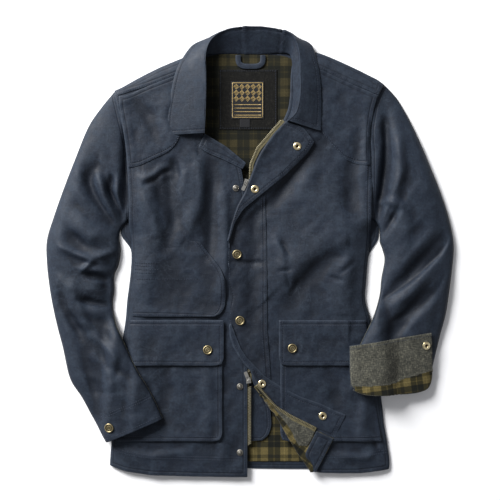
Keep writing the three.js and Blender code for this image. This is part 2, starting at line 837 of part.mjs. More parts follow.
// What the sleeves and the cuff lie on: the floor, or the pocketed front
function restHeight(x, y, over) {
  const inside = Math.min(x - rightSide(y), leftSide(y) - x);
  const bridged = Math.max(rightSide(y) + bridgeWidth, Math.min(leftSide(y) - bridgeWidth, x));
  const onFront = frontHeight(bridged, y) + 2 * layerStep + 1.6;
  return over * onFront * smooth(-40, -5, inside);
}

// A sleeve's surface at a fractional row and a share across it
function sleevePoint(rows, row, share, first) {
  const value = (column) => readRow(rows, column, row);
  let x = blend(value("ox"), value("ix"), share);
  let y = blend(value("oy"), value("iy"), share);
  const follow = clamp01(value("follow"));
  if (follow > 0) {
    const straightX = blend(rows[0].ox, rows[0].ix, share);
    const seamY = blend(rows[0].oy, rows[0].iy, share);
    const seamX = first < 0 ? rightSide(seamY) - armholeGap : leftSide(seamY) + armholeGap;
    x += (seamX - straightX) * follow;
  }
  return { x, y, high: value("high"), over: clamp01(value("over")) };
}

function sleeveGrid(rows, across, dip, heightAt) {
  const first = rows[0].ox;
  const grid = [];
  for (let j = 0; j <= sleeveAlong; j++) {
    const line = [];
    const along = j / sleeveAlong;
    for (let i = 0; i <= across; i++) {
      const even = i / across;
      const share = blend(even, (1 - Math.cos(Math.PI * even)) / 2, edgeCrowding);
      const point = sleevePoint(rows, (rows.length - 1) * along, share, first);
      line.push([point.x, point.y - dip(share, along), heightAt(point, share, along)]);
    }
    grid.push(first < 0 ? line : line.reverse());
  }
  return grid.reverse();
}

// Height of a laid tube's upper face over what it lies on
function crown(point, share, edge) {
  const across = Math.abs(2 * share - 1);
  const profile = (1 - across ** sleeveSquareness) ** (1 / 2);
  return edge + (point.high - edge) * profile + foldRise(sleeveFolds, point.x, point.y) * profile * profile;
}

const raise = (grid, by) => grid.map((line) => line.map(([x, y, z]) => [x, y, z + by]));

function addSleeve(side, rows, endLift, endDip) {
  const rest = (point, along) =>
    restHeight(point.x, point.y, point.over) + endLift * smooth(0.52, 0.64, along);
  const dip = (share, along) => endDip * Math.sin(Math.PI * share) * smooth(0.7, 1, along);
  const top = sleeveGrid(
    rows,
    sleeveAcross,
    dip,
    (point, share, along) => rest(point, along) + crown(point, share, sideHeight + 0.2),
  );
  addPiece("sleeve_" + side + "_top", wallGeometry(top, raise(top, -clothWall)), "waxedCotton");
  const under = sleeveGrid(
    rows,
    sleeveUnderAcross,
    dip,
    (point, share, along) => rest(point, along) + backWall,
  );
  addPiece("sleeve_" + side + "_under", wallGeometry(under, raise(under, -backWall)), "waxedCotton");
  return { top, under };
}

// The turned cuff is a straight band: its upper layer lies over the sleeve and spans its sides,
// and its lower one lies under the sleeve's end
function cuffGrid(across, heightAt) {
  const { foldInner, foldOuter, topInner, topOuter } = cuffCorners;
  const grid = [];
  for (let j = 0; j <= cuffAlong; j++) {
    const up = j / cuffAlong;
    const line = [];
    for (let i = 0; i <= across; i++) {
      const share = blend(i / across, (1 - Math.cos((Math.PI * i) / across)) / 2, edgeCrowding);
      const side = Math.abs(2 * share - 1);
      const inner = [0, 1].map((k) => blend(foldInner[k], topInner[k], up));
      const outer = [0, 1].map((k) => blend(foldOuter[k], topOuter[k], up));
      const x = blend(inner[0], outer[0], share);
      const y = blend(inner[1], outer[1], share) - cuffBelly * (1 - side ** foldSquareness) * (1 - up) ** 2;
      line.push([x, y, heightAt(x, y, side)]);
    }
    grid.push(line);
  }
  return grid;
}

// A grid's height here or, just below its end, a little way up from here
function heightNear(grid, x, y) {
  return gridHeight(grid, x, y) ?? gridHeight(grid, x, y + endReach);
}

function addLeftCuff(sleeve) {
  const edge = sideHeight + 0.2;
  const overSleeve = cuffClear + cuffWall;
  const top = cuffGrid(cuffAcross, (x, y, side) => {
    const profile = (1 - side ** sleeveSquareness) ** (1 / 2);
    const own = restHeight(x, y, 1) + cuffLift + edge + (cuffHigh - edge) * profile;
    return Math.max(own, heightNear(sleeve.top, x, y) ?? 0) + overSleeve;
  });
  addPiece("cuff_left_top", wallGeometry(top, raise(top, -cuffWall)), "tweed");
  const under = cuffGrid(cuffAcross, (x, y) => {
    const own = restHeight(x, y, 1) + cuffWall;
    return Math.min(own, (heightNear(sleeve.under, x, y) ?? Infinity) - backWall - cuffClear);
  });
  addPiece("cuff_left_under", wallGeometry(under, raise(under, -cuffWall)), "tweed");
  return top;
}

// A wall of even thickness round a grid of mid points, moved along the grid's own normals
function thickGrid(grid, thick) {
  const rows = grid.length;
  const columns = grid[0].length;
  const vector = (j, i) => new THREE.Vector3(...grid[Math.min(rows - 1, Math.max(0, j))][
    Math.min(columns - 1, Math.max(0, i))
  ]);
  const moved = (by) =>
    grid.map((line, j) =>
      line.map((point, i) => {
        const alongRow = vector(j, i + 1).sub(vector(j, i - 1));
        const acrossRow = vector(j + 1, i).sub(vector(j - 1, i));
        const normal = alongRow.cross(acrossRow).normalize();
        return new THREE.Vector3(...point).addScaledVector(normal, by).toArray();
      }),
    );
  return wallGeometry(moved(thick / 2), moved(-thick / 2));
}

function addCollar() {
  const stand = [];
  const fall = [];
  for (let j = 0; j <= collarSteps; j++) {
    const row = ((collarStations.length - 1) * j) / collarSteps;
    const point = (key) =>
      new THREE.Vector3(...["x", "y", "z"].map((axis) => readRow(collarStations, key + axis, row)));
    const base = point("b");
    const roll = point("r");
    const edge = point("e");
    const standLine = [];
    const standShare = 1 - rollGap / base.distanceTo(roll);
    for (let i = 0; i <= standAcross; i++) {
      const share = (standShare * i) / standAcross;
      standLine.push(base.clone().lerp(roll, share).toArray());
    }
    stand.push(standLine);
    // The fall bends over the roll and runs down to its edge
    const out = new THREE.Vector3(roll.x - base.x, roll.y - base.y, 0);
    const away = edge.clone().sub(roll).setZ(0).normalize();
    const bulge = roll.clone().addScaledVector(away, rollRadius * 0.4).setZ(roll.z + rollRadius * 0.5);
    if (away.dot(out) < 0 && edge.z < 3) {
      bulge.copy(roll).addScaledVector(out.normalize(), rollRadius * 1.8).setZ(roll.z * 0.55);
    }
    const curve = new THREE.QuadraticBezierCurve3(roll, bulge, edge);
    const fallLine = [];
    for (let i = 0; i <= fallAcross; i++) fallLine.push(curve.getPoint(i / fallAcross).toArray());
    fall.push(fallLine);
  }
  addPiece("collar_stand", thickGrid(stand, collarWall), "waxedCotton");
  addPiece("collar_fall", thickGrid(fall, collarWall), "waxedCotton");
}

// Pieces that lie on the lining inside the neck
function addNeckDetails() {
  const onLining = backWall + 2 * seamGap + liningWall;
  const patch = [
    [-57, 223],
    [50, 223],
    [50, 334],
    [-57, 334],
  ];
  const patchThick = 0.8;
  const labelThick = 0.7;
  addPiece("neck_patch", prism(patch, onLining, onLining + patchThick), "tweed");
  const label = [
    [-35, 243],
    [26, 243],
    [26, 312],
    [-35, 312],
  ];
  const onPatch = onLining + patchThick + seamGap;
  addPiece("neck_label", prism(label, onPatch, onPatch + labelThick), "label");
  const tab = [
    [-18.5, 227],
    [0, 227],
    [0, 242],
    [-18.5, 242],
  ];
  addPiece("size_tab", prism(tab, onPatch, onPatch + 0.5), "waxedCotton");
  const loopWidth = 8;
  const loop = new THREE.Shape();
  loop.moveTo(-26, 357);
  loop.lineTo(-26, 348);
  loop.quadraticCurveTo(-24, 337, -12, 336);
  loop.lineTo(14, 336);
  loop.quadraticCurveTo(26, 337, 28, 348);
  loop.lineTo(28, 357);
  loop.lineTo(28 - loopWidth, 357);
  loop.lineTo(28 - loopWidth, 350);
  loop.quadraticCurveTo(19, 345, 12, 344);
  loop.lineTo(-10, 344);
  loop.quadraticCurveTo(-17, 345, -18, 350);
  loop.lineTo(-18, 357);
  const loopGeometry = new THREE.ExtrudeGeometry(loop, { depth: 1.6, bevelEnabled: false, curveSegments: 4 });
  loopGeometry.translate(0, 0, onLining);
  addPiece("hanger_loop", loopGeometry, "waxedCotton");
  const guardLow = onLining + 0.2;
  const guard = softLine(
    [
      [-22, -246],
      [8, -250],
      [37, -291],
      [39, -325],
      [33, -343],
      [22, -352],
      [-22, -354],
    ],
    24,
  );
  addPiece("zip_guard", prism(guard, guardLow, guardLow + 1.6), "waxedCotton");
}

const rectangle = (x0, x1, y0, y1) => [
  [x0, y0],
  [x1, y0],
  [x1, y1],
  [x0, y1],
];

// Zip tapes under the fronts' edges, and the chain between the edges
function addZip() {
  const tapeWall = 0.9;
  const tapeLow = -clothWall - seamGap - tapeWall;
  const tapeRight = rectangle(-16, chainCentre - 0.2, chainBottom, 122);
  addPiece("zip_tape_right", layerGeometry(tapeRight, tapeLow, tapeWall), "zipTape");
  const tapeLeft = rectangle(chainCentre + 0.2, 14, lowerSliderY - 6, 122);
  addPiece("zip_tape_left", layerGeometry(tapeLeft, tapeLow, tapeWall), "zipTape");
  const closed = [
    [chainCentre - chainHalfWidth, lowerSliderY],
    [chainCentre + chainHalfWidth, lowerSliderY],
    [chainCentre + chainHalfWidth, chainBend],
    [chainCentre + chainHalfWidth - chainLean, chainTop],
    [chainCentre - chainHalfWidth - chainLean, chainTop],
    [chainCentre - chainHalfWidth, chainBend],
  ];
  addPiece("zip_chain", layerGeometry(closed, -clothWall + 0.1, clothWall), "zipTape");
  const open = rectangle(
    chainCentre - chainHalfWidth,
    chainCentre + chainHalfWidth,
    chainBottom,
    lowerSliderY - seamGap,
  );
  addPiece("zip_chain_open", layerGeometry(open, -clothWall + 0.1, clothWall), "zipTape");
  const neckTape = [
    [-1.5, 124],
    [-1.5, 158],
    [13, 190],
    [39, 219],
    [60, 242],
    [66, 234],
    [46, 211],
    [20, 182],
    [6, 155],
    [6, 124],
  ];
  addPiece("zip_tape_neck", layerGeometry(neckTape, tapeLow, tapeWall), "zipTape");
}

// Slider and pull tab. The pull's cross bar runs under the slider's arch and turns on the arch's inside.
function addSlider(name, place) {
  const zLow = gridHeight(bodyGrid, place.x, place.y) + seamGap + 0.5;
  const half = sliderLength / 2;
  const shield = new THREE.Shape();
  shield.moveTo(-sliderWidth / 2, half);
  shield.lineTo(sliderWidth / 2, half);
  shield.lineTo(sliderWidth / 2, 0);
  shield.quadraticCurveTo(sliderWidth / 2, -half, sliderWidth / 4, -half);
  shield.lineTo(-sliderWidth / 4, -half);
  shield.quadraticCurveTo(-sliderWidth / 2, -half, -sliderWidth / 2, 0);
  const cut = { bevelEnabled: false, curveSegments: 5 };
  const body = new THREE.ExtrudeGeometry(shield, { depth: sliderThick, ...cut });
  const arch = new THREE.Shape();
  const sunk = -0.5;
  arch.moveTo(-archLength / 2, sunk);
  arch.lineTo(-archLength / 2, archRise * 0.6);
  arch.quadraticCurveTo(-archLength / 2, archRise + archStrap, 0, archRise + archStrap);
  arch.quadraticCurveTo(archLength / 2, archRise + archStrap, archLength / 2, archRise * 0.6);
  arch.lineTo(archLength / 2, sunk);
  arch.lineTo(archLength / 2 - archStrap, sunk);
  arch.lineTo(archLength / 2 - archStrap, archRise * 0.55);
  arch.quadraticCurveTo(archLength / 2 - archStrap, archRise, 0, archRise);
  arch.quadraticCurveTo(-archLength / 2 + archStrap, archRise, -archLength / 2 + archStrap, archRise * 0.55);
  arch.lineTo(-archLength / 2 + archStrap, sunk);
  const strap = new THREE.ExtrudeGeometry(arch, { depth: archWidth, ...cut });
  strap.translate(0, 0, -archWidth / 2);
  strap.rotateX(Math.PI / 2);
  strap.rotateZ(Math.PI / 2);
  strap.translate(0, 0, sliderThick);
  const slider = geometryOf(solidOf(body).add(solidOf(strap)));
  const group = new THREE.Group();
  group.position.set(place.x, place.y, zLow);
  group.rotation.z = place.turn;
  root.add(group);
  addPiece(name + "_slider", slider, name === "upper" ? "brass" : "zipMetal", group);

  // The pull is a plate with a window; its bar lies along X at the turning axis
  const outline = new THREE.Shape();
  outline.moveTo(-pullWidth / 2, 0);
  outline.lineTo(-pullWidth / 2, -pullLength + 2);
  outline.quadraticCurveTo(-pullWidth / 2, -pullLength, 0, -pullLength);
  outline.quadraticCurveTo(pullWidth / 2, -pullLength, pullWidth / 2, -pullLength + 2);
  outline.lineTo(pullWidth / 2, 0);
  const windowCut = new THREE.Path();
  const windowHalf = pullWidth / 2 - pullRail;
  windowCut.moveTo(-windowHalf, 1);
  windowCut.lineTo(windowHalf, 1);
  windowCut.lineTo(windowHalf, -pullWindow);
  windowCut.lineTo(-windowHalf, -pullWindow);
  const plate = new THREE.ExtrudeGeometry(outline, { depth: pullThick, ...cut });
  plate.translate(0, 0, -pullThick / 2);
  const hole = new THREE.ExtrudeGeometry(new THREE.Shape(windowCut.getPoints()), {
    depth: 4 * pullThick,
    bevelEnabled: false,
  });
  hole.translate(0, 0, -2 * pullThick);
  const bar = new THREE.CylinderGeometry(barRadius, barRadius, pullWidth, 12);
  bar.rotateZ(Math.PI / 2);
  const pull = geometryOf(solidOf(plate).subtract(solidOf(hole)).add(solidOf(bar)));
  const pullGroup = new THREE.Group();
  pullGroup.position.set(place.x, place.y, zLow + sliderThick + seamGap + barRadius + 0.15);
  pullGroup.rotation.z = place.pullTurn;
  root.add(pullGroup);
  addPiece(name + "_pull", pull, name === "upper" ? "brass" : "zipMetal", pullGroup);
}

// Snap parts, each turned on its own axis
const capProfile = [
  [0, 0],
  [capRadius, 0],
  [capRadius, capHeight - 1],
  [capRadius - 2, capHeight],
  [capRadius - 3.4, capHeight - 0.7],
  [0, capHeight - 0.7],
];
const socketProfile = [
  [0, 0],
  [socketRadius, 0],
  [socketRadius - 1.6, 1.5],
  [socketRadius - 3.4, 1.5],
  [socketRadius - 4, 0.6],
  [0, 0.6],
];
const studProfile = [
  [0, 0],
  [studRadius, 0],
  [studRadius, 0.7],
  [studRadius - 3.2, 1],
  [studRadius - 2.9, 3.4],
  [0, 3.9],
];

const onFrontTop = seamGap;
const onFirst = layerStep + seamGap;
const onSecond = 2 * layerStep + seamGap;
const snaps = [
  { name: "flap_cap_upper", profile: capProfile, x: -24, y: -8, on: onFirst },
  { name: "flap_cap_lower", profile: capProfile, x: -18.5, y: -130, on: onFirst },
  { name: "pocket_cap_right", profile: capProfile, x: -78, y: -184, on: onSecond },
  { name: "pocket_cap_left", profile: capProfile, x: 78, y: -181, on: onSecond },
  { name: "flap_socket_head", profile: socketProfile, x: 87, y: 191, on: onSecond, fold: flapHeadFold },
  { name: "flap_socket_neck", profile: socketProfile, x: 9, y: 112, on: onSecond, fold: flapHeadFold },
  { name: "flap_socket_foot", profile: socketProfile, x: 22, y: -246, on: onSecond, fold: flapFootFold },
  { name: "flap_socket_corner", profile: socketProfile, x: 134, y: -306, on: onSecond },
  { name: "front_stud_lower", profile: studProfile, x: -18.5, y: -252, on: onFrontTop },
  { name: "front_stud_hem", profile: studProfile, x: -18.5, y: -374, on: onFrontTop },
  { name: "front_stud_neck", profile: studProfile, x: -26, y: 114, on: onFrontTop },
];

function snapGeometry(profile) {
  const geometry = new THREE.LatheGeometry(
    profile.map(([radius, height]) => new THREE.Vector2(radius, height)),
    roundSides,
  );
  geometry.rotateX(Math.PI / 2);
  return geometry;
}

// Seats a round piece on a surface: tilted with it, its rim just clear of the highest place under it
function seatOn(piece, heightAt, x, y, radius, on) {
  const slopeX = (heightAt(x + radius, y) - heightAt(x - radius, y)) / (2 * radius);
  const slopeY = (heightAt(x, y + radius) - heightAt(x, y - radius)) / (2 * radius);
  const centre = heightAt(x, y);
  let highest = 0;
  for (let k = 0; k < 16; k++) {
    const dx = radius * Math.cos((Math.PI * k) / 8);
    const dy = radius * Math.sin((Math.PI * k) / 8);
    highest = Math.max(highest, heightAt(x + dx, y + dy) - centre - slopeX * dx - slopeY * dy);
  }
  const up = new THREE.Vector3(-slopeX, -slopeY, 1).normalize();
  piece.quaternion.setFromUnitVectors(new THREE.Vector3(0, 0, 1), up);
  piece.position.set(x, y, centre + highest + on);
}

function addSnaps(sleeveRight, cuffTop) {
  for (const { name, profile, x, y, on, fold } of snaps) {
    const piece = addPiece(name, snapGeometry(profile), "brass");
    const puff = fold ? puffed(fold, 0, 2.6, 16) : () => 0;
    seatOn(piece, (px, py) => gridHeight(bodyGrid, px, py) + puff(px, py), x, y, profile[1][0], on);
  }
  const cuffCap = addPiece("cuff_cap_right", snapGeometry(capProfile), "brass");
  seatOn(cuffCap, (px, py) => gridHeight(sleeveRight, px, py), -258, -326, capRadius, seamGap);
  const cuffSocket = addPiece("cuff_socket_left", snapGeometry(socketProfile), "brass");
  seatOn(cuffSocket, (px, py) => gridHeight(cuffTop, px, py), 324, -176, socketRadius, seamGap);
}

addBack();
addFronts();
addFrontPatches();
const sleeveRight = addSleeve("right", rightSleeve, 0, 0);
const sleeveLeft = addSleeve("left", leftSleeve, cuffLift, cuffDip);
const cuffTop = addLeftCuff(sleeveLeft);
addCollar();
addNeckDetails();
addZip();
addSlider("upper", upperSliderPlace);
addSlider("lower", lowerSliderPlace);
addSnaps(sleeveRight.top, cuffTop);

export default root;
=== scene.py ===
# Waxed cotton field jacket laid flat, front up, seen from straight above.
import bpy
import math
import numpy as np
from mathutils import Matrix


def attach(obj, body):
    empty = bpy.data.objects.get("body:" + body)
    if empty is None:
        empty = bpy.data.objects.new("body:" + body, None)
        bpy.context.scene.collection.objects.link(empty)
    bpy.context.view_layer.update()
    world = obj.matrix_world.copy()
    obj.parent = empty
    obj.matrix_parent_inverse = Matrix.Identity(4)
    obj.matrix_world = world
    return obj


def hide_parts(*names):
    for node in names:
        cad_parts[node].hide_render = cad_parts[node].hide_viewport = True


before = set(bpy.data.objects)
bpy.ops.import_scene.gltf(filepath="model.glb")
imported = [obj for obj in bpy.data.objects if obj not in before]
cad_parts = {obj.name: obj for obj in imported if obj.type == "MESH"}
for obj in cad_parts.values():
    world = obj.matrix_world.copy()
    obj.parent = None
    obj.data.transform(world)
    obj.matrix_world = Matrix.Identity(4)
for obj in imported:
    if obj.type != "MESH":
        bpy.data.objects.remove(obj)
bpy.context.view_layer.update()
mm = 0.001  # every shape below is worked out in millimetres
made = {}  # name of a finished piece -> its outer face, normals and edge distances
print("frame loaded, cloth is next")

# Small sums


def smooth(start, end, value):  # 0 before start, 1 after end, soft between
    share = np.clip((value - start) / (end - start), 0, 1)
    return share * share * (3 - 2 * share)


def bell(distance, width):  # 1 at 0, dying away softly on both sides: exp(-(distance / width)**2)
    return np.exp(-((distance / width) ** 2))


def unit(vector):
    return vector / np.maximum(np.linalg.norm(vector, axis=-1, keepdims=True), 1e-9)


def lineLength(line):
    return np.linalg.norm(np.diff(np.asarray(line, float), axis=0), axis=1).sum()


def runAlong(line):  # how far along the line each of its points lies
    return np.concatenate([[0], np.cumsum(np.linalg.norm(np.diff(line, axis=0), axis=1))])


def curveRow(rows, at):  # a Catmull-Rom curve through rows, read at fractional row numbers
    rows = np.asarray(rows, float)
    at = np.asarray(at, float)
    last = len(rows) - 1
    i = np.clip(np.floor(at).astype(int), 0, last - 1)
    t = (at - i).reshape(at.shape + (1,) * (rows.ndim - 1))
    a, b, c, d = (rows[np.clip(i + k, 0, last)] for k in (-1, 0, 1, 2))
    square = t * t
    cube = square * t
    start = b * (2 * cube - 3 * square + 1) + (c - a) / 2 * (cube - 2 * square + t)
    return start + c * (3 * square - 2 * cube) + (d - b) / 2 * (cube - square)


def readTable(table, at, column):  # the table's column on a smooth curve over its first column
    table = np.asarray(table, float)
    keys = table[:, 0]
    i = np.clip(np.searchsorted(keys, at, side="right") - 1, 0, len(keys) - 2)
    share = np.clip((at - keys[i]) / (keys[i + 1] - keys[i]), 0, 1)
    return curveRow(table[:, column], i + share)


def evenLine(points, count):  # the same line with evenly spaced points
    points = np.asarray(points, float)
    run = runAlong(points)
    at = np.linspace(0, run[-1], count)
    return np.stack([np.interp(at, run, points[:, k]) for k in range(points.shape[1])], axis=1)


def softLine(points, count, rounding=10):  # corners rounded by averaging neighbours, ends kept
    line = evenLine(points, 4 * count)
    passes = int(min(400, (rounding / (lineLength(line) / len(line))) ** 2 / 2))
    for _ in range(passes):
        line[1:-1] = (line[:-2] + 2 * line[1:-1] + line[2:]) / 4
    return evenLine(line, count)


def patchGrid(bottom, right, top, left, step, rounding=10):
    # Coons patch: each point is the blend of the two side lines plus the blend of the bottom
    # and top lines, less the blend of the four corners
    across = max(4, int(max(lineLength(bottom), lineLength(top)) / step))
    along = max(4, int(max(lineLength(left), lineLength(right)) / step))
    low, high = softLine(bottom, across + 1, rounding), softLine(top, across + 1, rounding)
    first, last = softLine(left, along + 1, rounding), softLine(right, along + 1, rounding)
    u = np.linspace(0, 1, across + 1)[None, :, None]
    v = np.linspace(0, 1, along + 1)[:, None, None]
    corners = (1 - u) * (1 - v) * low[0] + u * (1 - v) * low[-1]
    corners = corners + (1 - u) * v * high[0] + u * v * high[-1]
    return (1 - v) * low[None] + v * high[None] + (1 - u) * first[:, None] + u * last[:, None] - corners


def boxGrid(x0, x1, y0, y1, step):
    return patchGrid([(x0, y0), (x1, y0)], [(x1, y0), (x1, y1)], [(x0, y1), (x1, y1)],
                     [(x0, y0), (x0, y1)], step, 0)


def softNoise(x, y, size, seed):  # random heights on a lattice of this size, softly joined
    lattice = np.random.default_rng(seed).uniform(-1, 1, (128, 128))
    u, v = x / size + 40.3, y / size + 44.7
    i, j = np.floor(u).astype(int), np.floor(v).astype(int)
    fu, fv = smooth(0, 1, u - i), smooth(0, 1, v - j)
    i, j = i % 127, j % 127
    low = lattice[j, i] * (1 - fu) + lattice[j, i + 1] * fu
    high = lattice[j + 1, i] * (1 - fu) + lattice[j + 1, i + 1] * fu
    return low * (1 - fv) + high * fv


def noiseOn(flat, size, seed):
    return softNoise(flat[..., 0], flat[..., 1], size, seed)


def softened(z, passes):  # each height inside the grid becomes the mean of its four neighbours, passes times
    z = z.copy()
    for _ in range(passes):
        z[1:-1, 1:-1] = (z[:-2, 1:-1] + z[2:, 1:-1] + z[1:-1, :-2] + z[1:-1, 2:]) / 4
    return z


def lineDistance(line, x, y):  # distance from each point to an open line
    line = np.asarray(line, float)
    nearest = np.full(np.shape(x), 1e9)
    for (x0, y0), (x1, y1) in zip(line[:-1], line[1:]):
        square = (x1 - x0) ** 2 + (y1 - y0) ** 2
        share = np.clip(((x - x0) * (x1 - x0) + (y - y0) * (y1 - y0)) / square, 0, 1)
        nearest = np.minimum(nearest, np.hypot(x - x0 - share * (x1 - x0), y - y0 - share * (y1 - y0)))
    return nearest


def foldRise(folds, x, y):
    # each fold is highest on its line, dies away to the sides, and is lower at its ends;
    # its back is steeper than its front, as where cloth buckles
    total = np.zeros(np.shape(x))
    for x0, y0, x1, y1, width, rise in folds:
        length = math.hypot(x1 - x0, y1 - y0)
        along = ((x - x0) * (x1 - x0) + (y - y0) * (y1 - y0)) / length**2
        aside = ((x - x0) * (y1 - y0) - (y - y0) * (x1 - x0)) / length
        share = np.clip(along, 0, 1)
        past = (along - share) * length
        lean = 1 + 0.35 * np.tanh(aside / width)
        away = np.hypot(aside * lean, past) / width
        total += rise * (0.55 + 0.45 * np.sin(np.pi * share)) * np.exp(-away * away)
    return total


def drapeRise(drapes, x, y):
    # each drape follows a soft line and dies away at its own width on its left and right hand:
    # rise * (1 - (1 - 2 * share)**4 / 2) * exp(-(distance / width)**2), share being how far along it is
    total = np.zeros(np.shape(x))
    for points, leftWidth, rightWidth, rise in drapes:
        line = softLine(points, 11, 2)
        reach = 2.6 * max(leftWidth, rightWidth)
        near = (x > line[:, 0].min() - reach) & (x < line[:, 0].max() + reach)
        near &= (y > line[:, 1].min() - reach) & (y < line[:, 1].max() + reach)
        if not near.any():
            continue
        px, py = x[near], y[near]
        best, side, place = np.full(px.shape, 1e9), np.zeros(px.shape), np.zeros(px.shape)
        for k, ((x0, y0), (x1, y1)) in enumerate(zip(line[:-1], line[1:])):
            square = (x1 - x0) ** 2 + (y1 - y0) ** 2
            share = np.clip(((px - x0) * (x1 - x0) + (py - y0) * (y1 - y0)) / square, 0, 1)
            away = np.hypot(px - x0 - share * (x1 - x0), py - y0 - share * (y1 - y0))
            closer = away < best
            best = np.where(closer, away, best)
            cross = ((x1 - x0) * (py - y0) - (y1 - y0) * (px - x0)) / math.sqrt(square)
            side = np.where(closer, cross, side)
            place = np.where(closer, (k + share) / (len(line) - 1), place)
        width = rightWidth + (leftWidth - rightWidth) * smooth(-3, 3, side)
        ends = 1 - np.abs(1 - 2 * place) ** 4 / 2
        total[near] += rise * ends * bell(best, width)
    return total


# The laid body, mm

body = {
    "sideHeight": 4.2,  # top of the front at the side seam
    "chestHeight": 13.5,
    "hemHeight": 10,
    "sideRound": 46,
    "shoulderRound": 34,
    "armhole": (28, 80),  # the side seam is no edge of the laid front above these heights
    "rise": (-400, -120),  # it grows from the hem's height to the chest's between these
    "layer": 1.5,  # one patch of cloth and its seam gap
    "folds": 1.45,  # strength of the drapes
    "rumple": 1.5,  # strength of the small unevenness
}

sideSeams = np.array([  # y, x of the right seam, x of the left seam
    (-424, -260, 250), (-399, -259, 258), (-352, -256, 253), (-325, -253, 248),
    (-278, -248, 243), (-223, -241, 234), (-177, -237, 229), (-130, -230, 223),
    (-93, -227, 213), (-56, -222, 215), (-19, -219, 218), (18, -220, 222),
    (58, -223, 223), (84, -222, 223), (129, -224, 224), (156, -226, 224),
    (184, -228, 224), (221, -233, 222), (267, -244, 229), (293, -250, 239),
    (307, -252, 248), (376, -262, 262),
])
shoulderLine = np.array([
    (-262, 288), (-250, 295), (-204, 319), (-167, 338), (-120, 357), (-86, 371), (0, 376),
    (87, 373), (130, 364), (167, 349), (204, 332), (237, 316), (248, 307), (262, 296),
])
frontFolds = [  # x0, y0, x1, y1, width, rise of each fold that the solids have too
    (74, 150, 37, 40, 17, -2.6), (167, 20, 60, -110, 20, -3.0), (100, 130, 175, 10, 26, 2.6),
    (190, -50, 182, -120, 18, -2.6), (150, 190, 205, 60, 22, -1.8), (-207, 145, -150, 150, 10, -1.8),
    (-185, 130, -160, 20, 18, 2.0), (-95, 160, -85, 60, 17, -2.2), (-120, 110, -135, 20, 20, 1.6),
    (-60, 60, -52, -20, 18, -1.8), (60, -20, 120, -90, 16, 1.8),
]
frontCreases = [  # smaller ones that only the cloth has
    (-205, 148, -196, 96, 9, 1.6), (-190, 120, -150, 128, 7, -1.3), (-172, 110, -160, 60, 9, -1.4),
    (-100, 168, -88, 120, 8, 1.3), (-78, 150, -92, 80, 9, 1.2), (-110, 90, -70, 20, 12, -1.2),
    (-150, 40, -120, -30, 14, 1.2), (-205, 60, -180, 10, 10, -1.1), (-60, 130, -40, 60, 10, -1.1),
    (-215, 20, -196, 14, 6, 1.1), (55, 20, 80, -12, 7, -1.9), (62, 8, 92, -20, 6, 1.6),
    (48, -12, 75, -32, 6, -1.2), (130, 90, 200, 40, 14, 1.3), (95, 60, 150, -30, 15, 1.4),
    (200, 20, 170, -40, 11, 1.4), (120, -40, 60, -85, 10, 1.2), (210, -60, 196, -115, 8, 1.4),
    (100, 205, 76, 150, 12, -1.3), (205, 150, 212, 60, 9, 1.5), (190, 120, 180, 70, 10, -1.0),
    (140, 180, 90, 96, 15, 1.2), (-232, 262, -180, 244, 9, -1.2), (-215, 240, -205, 180, 9, -1.4),
    (-200, 270, -150, 268, 9, 1.0), (-190, -232, -90, -240, 14, 0.9), (-200, -300, -120, -332, 15, -1.0),
    (110, -240, 200, -262, 14, 1.0), (100, -370, 220, -372, 9, -0.8), (-230, -378, -120, -366, 8, -0.9),
    (215, -372, 240, -398, 7, 1.3), (-225, -60, -190, -84, 9, 1.2), (-150, -50, -100, -84, 14, -1.0),
]


